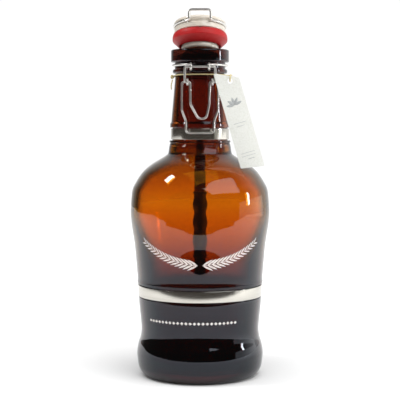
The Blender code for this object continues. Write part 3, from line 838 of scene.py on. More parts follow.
@dataclass
class Palette:
    """Every finish, made once."""

    glass: bpy.types.Material = field(default_factory=lambda: AmberGlass().build())
    strip: bpy.types.Material = field(default_factory=lambda: RolledStrip().build())
    wire: bpy.types.Material = field(default_factory=lambda: DrawnWire().build())
    plastic: bpy.types.Material = field(default_factory=lambda: MouldedGrip().build())
    porcelain: bpy.types.Material = field(default_factory=lambda: GlazedPorcelain().build())
    rubber: bpy.types.Material = field(default_factory=lambda: SealRubber().build())
    card: bpy.types.Material = field(default_factory=lambda: PrintedCard().build())
    cord: bpy.types.Material = field(default_factory=lambda: TwistedCord().build())
    white_ink: bpy.types.Material = field(default_factory=lambda: Ink().build())
    grey_ink: bpy.types.Material = field(
        default_factory=lambda: Ink("grey_litho_ink", "#aeb2b2", "#c0c3c2", 0.7).build()
    )
    paper: bpy.types.Material = field(default_factory=lambda: StudioPaper().build())


# --------------------------------------------------------------------------------------------------
# The glass and what is printed on it


@dataclass
class Glass:
    """The bottle: a stack of heights up one outline, turned about the axis."""

    shop: Workshop
    finishes: Palette
    body_r: float = 65.6
    wall: float = 3.5
    base_wall: float = 6.0
    foot_ring_r: float = 50.5
    foot_ring_width: float = 6.5
    punt_height: float = 4.5
    body_band_z: float = 76.2
    band_width: float = 10.3
    seat_margin: float = 0.8
    belly_z: float = 157.0
    shoulder_height: float = 54.0
    collar_r: float = 29.8
    collar_height: float = 11.4
    neck_foot_r: float = 27.1
    neck_top_r: float = 23.1
    neck_length: float = 47.1
    neck_seat_r: float = 26.1
    neck_ridge_height: float = 3.4
    ridge_out: float = 2.1  # the ridge above the neck band, out from the band's seat
    step_out: float = 2.7  # the step below it, which has a fine nick round it
    nick_below: float = 2.7
    nick_depth: float = 1.0
    bead_r: float = 25.7
    bead_height: float = 4.1
    groove_r: float = 23.8
    groove_height: float = 6.2
    lip_r: float = 27.3
    lip_height: float = 11.9
    bore_r: float = 19.0
    seat_r: float = 25.26
    seat_depth: float = 6.06
    body_seat_depth: float = 7.9
    segments: int = 224
    # By height, how far the side lies inside body_r
    depths: tuple[tuple[float, float], ...] = (
        (157.0, 0.0), (147.0, 0.4), (139.5, 1.3), (124.0, 3.6), (109.0, 4.9), (94.0, 6.1), (81.0, 6.9),
        (68.0, 7.7), (56.0, 8.9), (45.0, 9.8), (37.0, 9.0), (30.5, 7.0), (22.0, 5.7), (14.5, 6.2),
    )
    # Shares of the shoulder's width from the collar out, and of its height
    shoulder: tuple[tuple[float, float], ...] = (
        (0.02, 0.97), (0.13, 0.92), (0.43, 0.80), (0.67, 0.665), (0.86, 0.48), (0.96, 0.32),
    )
    # Shares of the heel's width from the side in, and of its height
    heel: tuple[tuple[float, float], ...] = ((0.12, 0.58), (0.42, 0.24), (0.78, 0.06))

    @property
    def collar_z(self) -> float:
        """The foot of the collar."""
        return self.belly_z + self.shoulder_height

    @property
    def neck_seat_z(self) -> float:
        """The foot of the neck band's recess."""
        return self.collar_z + self.collar_height

    @property
    def neck_band_z(self) -> float:
        """The foot of the neck band."""
        return self.neck_seat_z + self.seat_margin

    @property
    def body_seat_r(self) -> float:
        """The radius of the body band's recess."""
        return self.body_r - self.body_seat_depth

    def side(self, per_span: int) -> Array:
        """The side from under the collar to the heel, without the band's recess, as a flowing curve."""
        width = self.body_r - self.collar_r
        tall = self.shoulder_height
        shoulder = [(self.collar_r + s * width, self.belly_z + h * tall) for s, h in self.shoulder]
        body = [(self.body_r - depth, height) for height, depth in self.depths]
        return flowing(np.array(shoulder + body), per_span)

    def neck(self) -> Array:
        """The lip, wire groove, bead, neck cone, band recess and collar, from the mouth down."""
        ridge_z = self.neck_band_z + self.band_width + self.seat_margin
        foot_z = ridge_z + self.neck_ridge_height
        bead_z = foot_z + self.neck_length
        groove_z = bead_z + self.bead_height
        lip_z = groove_z + self.groove_height
        lip_top = lip_z + self.lip_height
        ridge_r, step_r = self.neck_seat_r + self.ridge_out, self.neck_seat_r + self.step_out
        nick_z = self.neck_seat_z - self.nick_below
        return filleted(
            (
                (self.bore_r, lip_top - self.seat_depth, 0),
                (self.seat_r, lip_top, 0.5),
                (self.lip_r, lip_top, 1.4),
                (self.lip_r, lip_z, 1.4),
                (self.groove_r, lip_z, 0.5),
                (self.groove_r, groove_z, 0.5),
                (self.bead_r, groove_z, 1.5),
                (self.bead_r, bead_z, 1.5),
                (self.neck_top_r, bead_z, 0.6),
                (self.neck_foot_r, foot_z + 2, 1.0),
                (ridge_r, foot_z, 0.5),
                (ridge_r, ridge_z, 0.4),
                (self.neck_seat_r, ridge_z, 0.2),
                (self.neck_seat_r, self.neck_seat_z, 0.2),
                (step_r, self.neck_seat_z, 0.7),
                (step_r, nick_z + 0.6, 0.3),
                (step_r - self.nick_depth, nick_z, 0.15),
                (step_r - 0.1, nick_z - 0.6, 0.3),
                (step_r - 0.1, self.collar_z + 6.5, 0.4),
                (self.collar_r - 0.8, self.collar_z + 6, 0.4),
                (self.collar_r, self.collar_z, 0),
            ),
            steps=5,
        )

    def outside(self) -> Array:
        """The outline from the mouth down to the middle of the hollow under the foot."""
        side = self.side(8)
        seat_top = self.body_band_z + self.band_width + self.seat_margin
        seat_low = self.body_band_z - self.seat_margin
        above = side[side[:, 1] > seat_top + 4]
        below = side[side[:, 1] < seat_low - 2]
        edge = above[-1, 0]
        recess = filleted(
            (
                (*above[-1], 0),
                (edge + 0.3, seat_top + 2.5, 1.5),
                (edge, seat_top + 0.3, 0.4),
                (self.body_seat_r, seat_top, 0.2),
                (self.body_seat_r, seat_low, 0.2),
                (below[0, 0], seat_low - 0.3, 0.4),
                (*below[0], 0),
            ),
            steps=4,
        )[1:-1]
        heel_width = side[-1, 0] - self.foot_ring_r
        heel = [(side[-1, 0] - s * heel_width, h * side[-1, 1]) for s, h in self.heel]
        ring_in = self.foot_ring_r - self.foot_ring_width
        heel_curve = flowing(np.array([side[-1], *heel, (self.foot_ring_r, 0)]), 5)[1:]
        hollow = np.array(((ring_in, 0), (ring_in - 3, 2), (ring_in - 12, 3.4), (0, self.punt_height)))
        return np.vstack((self.neck(), above, recess, below, heel_curve, flowing(hollow, 4)))

    def inside(self) -> Array:
        """The outline from the middle of the floor up the inside to the mouth."""
        side = self.side(4)
        along = np.gradient(side, axis=0)
        inner = side + unit(np.stack((along[:, 1], -along[:, 0]), axis=1)) * self.wall
        floor = self.punt_height + self.base_wall
        inner = inner[inner[:, 1] > floor + 9][::-1]
        floor_r = inner[0, 0]
        bore = self.neck_seat_r - self.wall
        low = flowing(
            np.array(((0, floor), (floor_r - 12, floor - 1.5), (floor_r - 3.5, floor + 2.0), inner[0])), 5
        )[:-1]
        foot_z = self.neck_band_z + self.band_width + self.seat_margin + self.neck_ridge_height
        high = filleted(
            (
                (*inner[-1], 0),
                (bore + 1.5, self.collar_z, 4),
                (bore, self.neck_seat_z, 4),
                (bore, foot_z, 4),
                (self.bore_r + 0.4, foot_z + self.neck_length, 4),
                (self.bore_r, foot_z + self.neck_length + 8, 0),
            ),
            steps=4,
        )[1:]
        return np.vstack((low, inner, high))

    def radius_at(self, heights: Array) -> Array:
        """The outside's radius at heights on the body."""
        side = self.side(8)[::-1]
        return np.interp(heights, side[:, 1], side[:, 0])

    def build(self) -> None:
        """Turns the glass."""
        outline = np.vstack((self.inside(), self.outside()))
        surface = turned(outline, self.segments)
        self.shop.piece(
            "amber_bottle", surface, self.finishes.glass, Body.BOTTLE, Slot.GLASS, ["bottle"], sharp_deg=50
        )


@dataclass
class Ornament:
    """White printing on the glass: two sprays of leaves that meet in front, and a row of lozenges below."""

    shop: Workshop
    finishes: Palette
    glass: Glass
    spray_z: float = 110.5
    spray_half: float = 58.0  # along the glass from the middle
    spray_rise: float = 19.0
    spray_bend: float = 1.8
    pairs: int = 14
    leaf_length: float = 9.6
    leaf_width: float = 1.9
    stem_width: float = 0.45
    row_z: float = 57.0
    row_from: float = -52.0
    row_to: float = 34.0
    row_count: int = 23
    lozenge: tuple[float, float] = (1.6, 1.5)
    ink: float = 0.06

    def on_glass(self, across: Array, heights: Array) -> Array:
        """Points a hair off the glass: (r sin a, -r cos a, z), where a is across / r at the middle height."""
        radius = self.glass.radius_at(heights) + 0.03
        angle = across / self.glass.radius_at(np.full_like(heights, heights.mean()))
        return np.stack((radius * np.sin(angle), -radius * np.cos(angle), heights), axis=-1)

    def stem_height(self, across: Array) -> Array:
        """The stem's line: z + rise (|x| / half)^bend, low in the middle and high at its ends."""
        return self.spray_z + self.spray_rise * (np.abs(across) / self.spray_half) ** self.spray_bend

    def leaf(self, across: float, turn: float, size: float) -> Surface:
        """A pointed leaf: half width w sin(pi s)^0.8 (1 - 0.3 s) at share s of its length."""
        s, t = np.meshgrid(np.linspace(0, 1, 12), np.linspace(-1, 1, 5), indexing="ij")
        half = self.leaf_width / 2 * size * np.sin(np.pi * s) ** 0.8 * (1 - 0.3 * s) + 0.02
        along, sideways = s * self.leaf_length * size, t * half
        cos, sin = math.cos(turn), math.sin(turn)
        base = float(self.stem_height(np.array(across)))
        x = across + along * cos - sideways * sin
        z = base + along * sin + sideways * cos
        return patch(self.on_glass(x, z))

    def stem(self, side: int) -> Surface:
        """One stem, a thin ribbon that tapers towards its end."""
        s, t = np.meshgrid(np.linspace(0.04, 1, 60), np.linspace(-1, 1, 3), indexing="ij")
        x = side * s * self.spray_half
        z = self.stem_height(x) + side * t * self.stem_width / 2 * (1.2 - 0.7 * s)
        return patch(self.on_glass(x, z))

    def build(self) -> None:
        """Prints the sprays and the row."""
        surface = self.stem(1) + self.stem(-1)
        for side in (1, -1):
            for index in range(self.pairs):
                share = (index + 0.6) / self.pairs
                size = 1.1 - 0.45 * share
                slope = self.spray_bend * self.spray_rise / self.spray_half * share ** (self.spray_bend - 1)
                for lean in (0.5, -0.5):
                    along = math.atan(slope) + lean
                    heading = along if side > 0 else math.pi - along
                    surface += self.leaf(side * share * self.spray_half, heading, size)
        s, t = np.meshgrid(np.linspace(-1, 1, 7), np.linspace(-1, 1, 3), indexing="ij")
        wide, tall = self.lozenge
        for across in np.linspace(self.row_from, self.row_to, self.row_count):
            x = across + s * wide
            z = self.row_z + t * (tall * (1 - np.abs(s)) + 0.02)
            surface += patch(self.on_glass(x, z))
        self.shop.piece(
            "printed_sprays", surface, self.finishes.white_ink, Body.BOTTLE, Slot.PORCELAIN, solid=self.ink
        )


# --------------------------------------------------------------------------------------------------
# Bands, handle and rivets


@dataclass
class Band:
    """A steel strip round the glass, split at the back, with the foot plate and two rivets over its ends."""

    shop: Workshop
    finishes: Palette
    name: str
    low: float
    seat_r: float
    width: float = 10.3
    thickness: float = 1.0
    gap: float = 0.3
    split: float = 2.0
    foot_thickness: float = 1.8
    foot_length: float = 26.0
    rivet_spread: float = 9.4
    rivet_r: float = 1.5
    head_r: float = 2.7
    head_height: float = 1.2
    head_dome: tuple[tuple[float, float], ...] = (
        (0, 1.0), (0.35, 0.97), (0.7, 0.78), (0.93, 0.45), (1.0, 0.14),
    )
    tail_r: float = 2.1
    tail_from: float = 2.1
    tail_to: float = 3.1
    band_steps: int = 220
    plate_inset: float = 0.5
    plate_corner: float = 2.0

    @property
    def inner(self) -> float:
        """The strip's inner radius."""
        return self.seat_r + self.gap

    @property
    def foot_inner(self) -> float:
        """The foot plate's inner radius."""
        return self.inner + self.thickness + self.gap

    @property
    def middle(self) -> float:
        """The height of the strip's middle."""
        return self.low + self.width / 2

    def curved(self, section: Array, start: float, end: float, steps: int) -> Surface:
        """A section (r, z) carried round the axis between two angles, which run from +X towards +Y."""
        angles = np.linspace(start, end, steps + 1)
        turn = np.stack((np.cos(angles), np.sin(angles), np.zeros_like(angles)), axis=1)
        rings = section[None, :, :1] * turn[:, None] + section[None, :, 1:] * np.array((0, 0, 1.0))
        return loft(rings)

    def strip(self) -> Surface:
        """The strip, nearly all the way round."""
        r, top = self.inner, self.low + self.width
        out = r + self.thickness
        section = filleted(
            ((out, top, 0.35), (out, self.low, 0.35), (r, self.low, 0.3), (r, top, 0.3)), closed=True, steps=4
        )
        half = self.split / 2 / out
        return self.curved(section, math.pi / 2 + half, math.pi / 2 + math.tau - half, self.band_steps)

    def foot(self) -> Surface:
        """The foot plate: the same curve further out, with its corners rounded by tucking its ends in."""
        r, out = self.foot_inner, self.foot_inner + self.foot_thickness
        half_height = self.width / 2 - self.plate_inset
        reach = self.foot_length / 2
        across = np.linspace(-reach, reach, 61)
        corner = self.plate_corner
        tuck = np.clip(np.abs(across) - (reach - corner), 0, corner)
        heights = half_height - corner + np.sqrt(np.maximum(corner**2 - tuck**2, 0.09))
        section = filleted(((out, 1, 0.3), (out, -1, 0.3), (r, -1, 0.2), (r, 1, 0.2)), closed=True, steps=3)
        rings = []
        for place, height in zip(across, heights):
            angle = math.pi / 2 - place / out
            z = self.middle + np.clip(section[:, 1], -1, 1) * height
            x, y = section[:, 0] * math.cos(angle), section[:, 0] * math.sin(angle)
            rings.append(np.stack((x, y, z), axis=1))
        return loft(np.array(rings[::-1]))

    def rivet(self, side: int) -> Surface:
        """A domed head on a shank: the outline turned about the radius that it stands on."""
        out = self.foot_inner + self.foot_thickness
        head = np.array(self.head_dome) * (self.head_r, self.head_height) + (0, self.gap)
        shank = np.array(
            (
                (self.head_r, self.gap),
                (self.rivet_r, self.gap),
                (self.rivet_r, -self.tail_from),
                (self.tail_r, -self.tail_to),
                (0, -self.tail_to),
            )
        )
        surface = turned(np.vstack((flowing(head, 4), shank)), 32)
        angle = math.asin(side * self.rivet_spread / out)
        outward = np.array((math.sin(angle), math.cos(angle), 0.0))
        sideways = np.array((math.cos(angle), -math.sin(angle), 0.0))
        up = np.cross(outward, sideways)
        foot = outward * out + (0, 0, self.middle)
        return surface.moved(lambda points: foot + points @ np.array((sideways, up, outward)))

    def build(self) -> None:
        """Makes the strip and its rivets. The foot plate belongs to the handle's strap."""
        strip = self.finishes.strip
        self.shop.piece(
            f"{self.name}_clamp_band", self.strip(), strip, Body.BOTTLE, Slot.STRIP, [f"{self.name}_band"]
        )
        for word, side in (("left", -1), ("right", 1)):
            self.shop.piece(
                f"{self.name}_domed_rivet_{word}",
                self.rivet(side),
                strip,
                Body.BOTTLE,
                Slot.STRIP,
                [f"{self.name}_rivet_{word}"],
            )


@dataclass
class Handle:
    """The back handle: a flat strap bent between the two bands' foot plates, and its grip."""

    shop: Workshop
    finishes: Palette
    neck: Band
    body: Band
    strap_width: float = 12.6
    strap_thickness: float = 2.0
    reach: float = 98.0
    upper_bend: float = 30.0
    lower_bend: float = 15.0
    grip_low: float = 99.0
    grip_length: float = 75.0
    grip_width: float = 16.0
    grip_depth: float = 16.0
    waves: int = 4
    wave: float = 0.7
    end_length: float = 3.0  # a stretch at each end with closer stations
    end_rounding: float = 0.32
    rounding_length: float = 3.6
    ridge: float = 0.12
    ridge_width: float = 0.06  # as a sine
    sides: int = 72

    def strap(self) -> Surface:
        """A rounded rectangle carried along the bent line, with the two foot plates."""
        starts = self.neck.foot_inner + self.neck.foot_thickness / 2
        ends = self.body.foot_inner + self.body.foot_thickness / 2
        line = filleted(
            (
                (0, starts, self.neck.middle, 0),
                (0, self.reach, self.neck.middle, self.upper_bend),
                (0, self.reach, self.body.middle, self.lower_bend),
                (0, ends, self.body.middle, 0),
            ),
            steps=24,
        )
        line = evenly(line, 1.2)
        tangents = unit(np.gradient(line, axis=0))
        across = np.array((1.0, 0.0, 0.0))
        normals = np.cross(across, tangents)
        half, thick = self.strap_width / 2, self.strap_thickness / 2
        bend = 0.45
        section = filleted(
            ((-thick, -half, bend), (thick, -half, bend), (thick, half, bend), (-thick, half, bend)),
            closed=True,
            steps=4,
        )
        rings = line[:, None] + section[None, :, :1] * normals[:, None] + section[None, :, 1:] * across
        return loft(rings) + self.neck.foot() + self.body.foot()

    def grip(self) -> Surface:
        """The sleeve: an oval whose size follows a cosine along it, with rounded ends and a parting line."""
        first = np.linspace(0, self.end_length, 9)[:-1]
        middle = np.linspace(self.end_length, self.grip_length - self.end_length, 130)
        stations = np.concatenate((first, middle, self.grip_length - first[::-1]))
        end = np.minimum(stations, self.grip_length - stations)
        rounding = 1 - self.end_rounding * np.clip(1 - end / self.rounding_length, 0, 1) ** 2.4
        wave = self.wave * np.cos(math.tau * self.waves * stations / self.grip_length)
        depth = (self.grip_depth / 2 - self.wave + wave) * rounding
        angles = ring_angles(self.sides)
        parting = self.ridge * np.exp(-((np.sin(angles) / self.ridge_width) ** 2))
        width = self.grip_width / self.grip_depth
        size = depth[:, None] * np.ones(self.sides)
        x = size * np.cos(angles) * width + parting * np.sign(np.cos(angles)) * (rounding[:, None] > 0.99)
        y = size * np.sin(angles)
        z = np.broadcast_to(stations[:, None], x.shape)
        return loft(np.stack((x, self.reach + y, self.grip_low + z), axis=-1))

    def build(self) -> None:
        """Makes the strap and the grip."""
        self.shop.piece(
            "handle_strap_bar", self.strap(), self.finishes.strip, Body.BOTTLE, Slot.STRIP, ["handle_strap"]
        )
        self.shop.piece(
            "finger_grip", self.grip(), self.finishes.plastic, Body.BOTTLE, Slot.PLASTIC, ["grip"]
        )


# --------------------------------------------------------------------------------------------------
# The closure


@dataclass
class Closure:
    """The wires that close the bottle: the ring in its groove, the lever and the bail."""

    shop: Workshop
    finishes: Palette
    wire_r: float = 1.1
    bail_r: float = 1.0
    play: float = 0.5
    eye_sweep: float = 245.0
    groove_r: float = 23.8
    ring_below_lip: float = 14.69
    front_eye_x: float = 8.3
    hinge_bar_x: float = 10.5
    lever_arm_x: float = 13.9
    lever_inner_x: float = 9.1
    lever_lean: float = 0.006
    lever_bend: float = 1.6
    jog_bend: float = 1.4
    # The slanted V that the hand presses: place across, depth below the jogs, and bend
    press_v: tuple[tuple[float, float, float], ...] = (
        (8.4, 20.3, 9.0), (5.6, 33.6, 4.0), (-1.6, 33.6, 5.0), (-8.8, 20.3, 9.0),
    )
    bail_eye_x: float = 11.5
    bail_arm_x: float = 16.6
    bail_foot_x: float = 12.9
    bail_length: float = 46.6
    bail_narrows: tuple[float, float] = (26.0, 35.5)
    bail_bend: float = 5.0
    spacing: float = 0.45
    easing: float = 1.3

    @property
    def eye_r(self) -> float:
        """The radius of an eye's middle line round wire of the same size."""
        return 2 * self.wire_r + self.play

    def eye(self, x: float, centre: Array, radius: float, start_deg: float, turn: int) -> Array:
        """An open eye in the plane at x: centre + r (cos a, sin a) in Y and Z, over most of a turn."""
        angles = np.radians(start_deg + turn * np.linspace(0, self.eye_sweep, 25))
        y = centre[1] + radius * np.cos(angles)
        return np.stack((np.full(25, x), y, centre[2] + radius * np.sin(angles)), axis=1)

    def level_arc(self, radius: float, height: float, start_deg: float, end_deg: float) -> Array:
        """A level arc round the axis, with angles from +X towards +Y."""
        angles = np.radians(np.linspace(start_deg, end_deg, 49))
        return np.stack((radius * np.cos(angles), radius * np.sin(angles), np.full(49, height)), axis=1)

    def ring(self) -> Surface:
        """The groove wire: a front eye, half the neck and the hinge bar behind, then the mirror image."""
        places = self.shop.places
        axle, hinge = places.axle, places.hinge
        radius = self.groove_r + 0.5 + self.wire_r
        height = places.lip_top - self.ring_below_lip
        lead = np.array(
            (
                (self.front_eye_x, axle[1] + 2.2, axle[2] + self.eye_r + 0.1),
                (self.front_eye_x + 0.5, -radius - 0.3, height - 0.1),
            )
        )
        bar = filleted(
            (
                (self.hinge_bar_x, radius + 1, height, 0),
                (self.hinge_bar_x, hinge[1], hinge[2], 2.5),
                (0, hinge[1], hinge[2], 0),
            )
        )
        half = np.vstack(
            (
                self.eye(self.front_eye_x, axle, self.eye_r, 90 + self.eye_sweep, -1),
                lead,
                self.level_arc(radius, height, -63, 61),
                bar,
            )
        )
        return rod(eased(mirrored(half), self.spacing, self.easing), self.wire_r)

    def lever(self) -> Surface:
        """The closed loop that the hand presses: axle, arms, jogs that carry the bail, and a slanted V."""
        places = self.shop.places
        top, low = places.axle[2], places.link[2]
        arm, inner = self.lever_arm_x, self.lever_inner_x
        outline = filleted(
            (
                (arm, top, self.lever_bend),
                (arm, low, self.jog_bend),
                (inner, low, self.jog_bend),
                *((x, low - depth, bend) for x, depth, bend in self.press_v),
                (-inner, low, self.jog_bend),
                (-arm, low, self.jog_bend),
                (-arm, top, self.lever_bend),
            ),
            closed=True,
        )
        x, z = outline.T
        back = places.link[1] - places.axle[1]
        rise = (z - low) / (top - low)
        y = np.where(rise > 0, places.link[1] - back * rise, places.link[1] - self.lever_lean * (low - z))
        path = np.stack((x, y, z), axis=1)
        return rod(eased(path, self.spacing, 0.9, closed=True), self.wire_r, closed=True)

    def bail(self) -> Surface:
        """The loop that hooks behind the lid's catch, with an eye at each end behind the lever's arm."""
        link = self.shop.places.link
        radius = self.wire_r + self.play + self.bail_r
        back, top = link[1] + radius, link[2]
        narrows_from, narrows_to = self.bail_narrows
        side = filleted(
            (
                (self.bail_eye_x + 1.6, back, top, 0),
                (self.bail_arm_x, back, top, 1.6),
                (self.bail_arm_x, link[1] + 0.6, top - narrows_from, self.bail_bend),
                (self.bail_foot_x, link[1], top - narrows_to, self.bail_bend),
                (self.bail_foot_x, link[1] - 0.8, top - self.bail_length, 3.0),
                (0, link[1] - 0.8, top - self.bail_length, 0),
            )
        )
        lead = np.array(((self.bail_eye_x + 0.35, back - 0.02, top + 0.25),))
        eye = self.eye(self.bail_eye_x, link, radius, 22 + self.eye_sweep, -1)
        path = mirrored(np.vstack((eye, lead, side)))
        return rod(eased(path, self.spacing, 1.0), self.bail_r)

    def build(self) -> None:
        """Makes the three wires."""
        wire = self.finishes.wire
        self.shop.piece("groove_ring_wire", self.ring(), wire, Body.BOTTLE, Slot.WIRE, ["neck_ring"])
        self.shop.piece("press_lever_wire", self.lever(), wire, Body.LEVER, Slot.WIRE, ["lever"])
        self.shop.piece("hook_bail_wire", self.bail(), wire, Body.BAIL, Slot.WIRE, ["bail"])


@dataclass
class Stopper:
    """The porcelain lid, its gasket and its wire, shaped shut and then turned open about the hinge."""

    shop: Workshop
    finishes: Palette
    closure: Closure
    rise: float = 8.1
    lid_r: float = 24.3
    lid_height: float = 12.1
    wire_ring_r: float = 24.4
    wire_height: float = 6.6
    spigot_r: float = 17.5
    spigot_length: float = 16.7
    gasket_r: float = 25.9
    gasket_height: float = 12.7
    toe_r: float = 19.8
    gasket_side: float = 6.8
    gap: float = 0.3
    catch_forward: float = 30.0
    catch_half: float = 10.0
    catch_height: float = 7.5
    catch_dip: float = 1.5
    lid_eye_x: float = 6.0
    notch_depth: float = 1.1
    notch_deg: float = 2.6
    groove_depth: float = 1.5
    hollow_depth: float = 9.0
    segments: int = 160

    @property
    def face(self) -> float:
        """The height where lid and gasket meet, shut."""
        return self.shop.places.lip_top + self.rise

    def lid(self) -> Surface:
        """The lid, a shallow drum with a groove for its wire and a hollow spigot, turned about the axis."""
        face, groove, r = self.face, self.face + self.wire_height, self.lid_r
        outline = filleted(
            (
                (0, face + self.lid_height, 0),
                (r - 5, face + self.lid_height - 0.1, 8),
                (r + 0.2, face + self.lid_height - 0.6, 2.4),
                (r + 0.2, groove + 1.9, 0.5),
                (r - self.groove_depth, groove + 0.8, 0.7),
                (r - self.groove_depth, groove - 0.8, 0.7),
                (r, groove - 1.9, 0.5),
                (r, face, 1.0),
                (self.spigot_r, face, 0.2),
                (self.spigot_r, face - self.spigot_length, 2.0),
                (self.spigot_r - 4, face - self.spigot_length, 1.0),
                (self.spigot_r - 5, face - self.hollow_depth, 2.5),
                (0, face - self.hollow_depth, 0),
            ),
            steps=6,
        )
        return turned(outline, self.segments)

    def gasket(self) -> Surface:
        """The rubber ring, with a small notch in its top edge in front, depth exp(-(a / w)^2) deep."""
        top, toe, bore = self.face - self.gap, self.face - self.gasket_height, self.spigot_r + self.gap
        r = self.gasket_r
        outline = filleted(
            (
                (bore, top, 0.8),
                (r - 0.9, top, 1.6),
                (r, top - 3.6, 6.0),
                (r, self.face - self.gasket_side, 1.6),
                (self.toe_r, toe, 1.0),
                (bore, toe, 0.5),
            ),
            closed=True,
            steps=6,
        )
        surface = turned(outline, self.segments)

        def notched(points: Array) -> Array:
            """Lowers the top of the front edge a little."""
            across = np.degrees(np.arctan2(points[:, 0], -points[:, 1]))
            radius = np.hypot(points[:, 0], points[:, 1])
            share = np.clip((points[:, 2] - top + 2.5) / 2.5, 0, 1) * np.clip((radius - bore - 3) / 3, 0, 1)
            drop = self.notch_depth * share * np.exp(-((across / self.notch_deg) ** 2))
            return points - np.stack((0 * drop, 0 * drop, drop), axis=1)

        return surface.moved(notched)

    def wire(self) -> Surface:
        """The lid's wire: hinge eye, arm, half the groove and half the catch, then the mirror image."""
        closure, hinge = self.closure, self.shop.places.hinge
        level = self.face + self.wire_height
        dip = level - self.catch_dip
        front_x = self.catch_half - 0.4
        front_y = -math.sqrt(self.wire_ring_r**2 - front_x**2)
        arm_y = hinge[1] - closure.eye_r
        arm = filleted(
            (
                (self.lid_eye_x, arm_y, hinge[2] + 1, 0),
                (self.lid_eye_x, arm_y, level - 1.5, 3.0),
                (self.lid_eye_x + 1.5, self.wire_ring_r, level, 0),
            )
        )
        catch = filleted(
            (
                (front_x, front_y - 1.5, level - 0.2, 0),
                (self.catch_half, front_y - 4.5, dip, 1.5),
                (self.catch_half, -self.catch_forward, dip, 1.4),
                (self.catch_half, -self.catch_forward, level + self.catch_height, 2.8),
                (0, -self.catch_forward, level + self.catch_height, 0),
            )
        )
        ring_end = math.degrees(math.atan2(front_y, front_x))
        half = np.vstack(
            (
                closure.eye(self.lid_eye_x, hinge, closure.eye_r, 180 + closure.eye_sweep, -1),
                arm,
                closure.level_arc(self.wire_ring_r, level, 68, ring_end),
                catch,
            )
        )
        return rod(eased(mirrored(half), closure.spacing, 1.1), closure.wire_r)

    def build(self) -> None:
        """Makes the lid, gasket and wire, opened."""
        opened = self.shop.places.opened
        made = (
            ("porcelain_lid", self.lid(), self.finishes.porcelain, Slot.PORCELAIN, "lid"),
            ("sealing_gasket", self.gasket(), self.finishes.rubber, Slot.RUBBER, "gasket"),
            ("lid_catch_wire", self.wire(), self.finishes.wire, Slot.WIRE, "lid_wire"),
        )
        for name, surface, material, slot, node in made:
            self.shop.piece(name, surface.moved(opened), material, Body.STOPPER, slot, [node])


# --------------------------------------------------------------------------------------------------
# Tag and cord


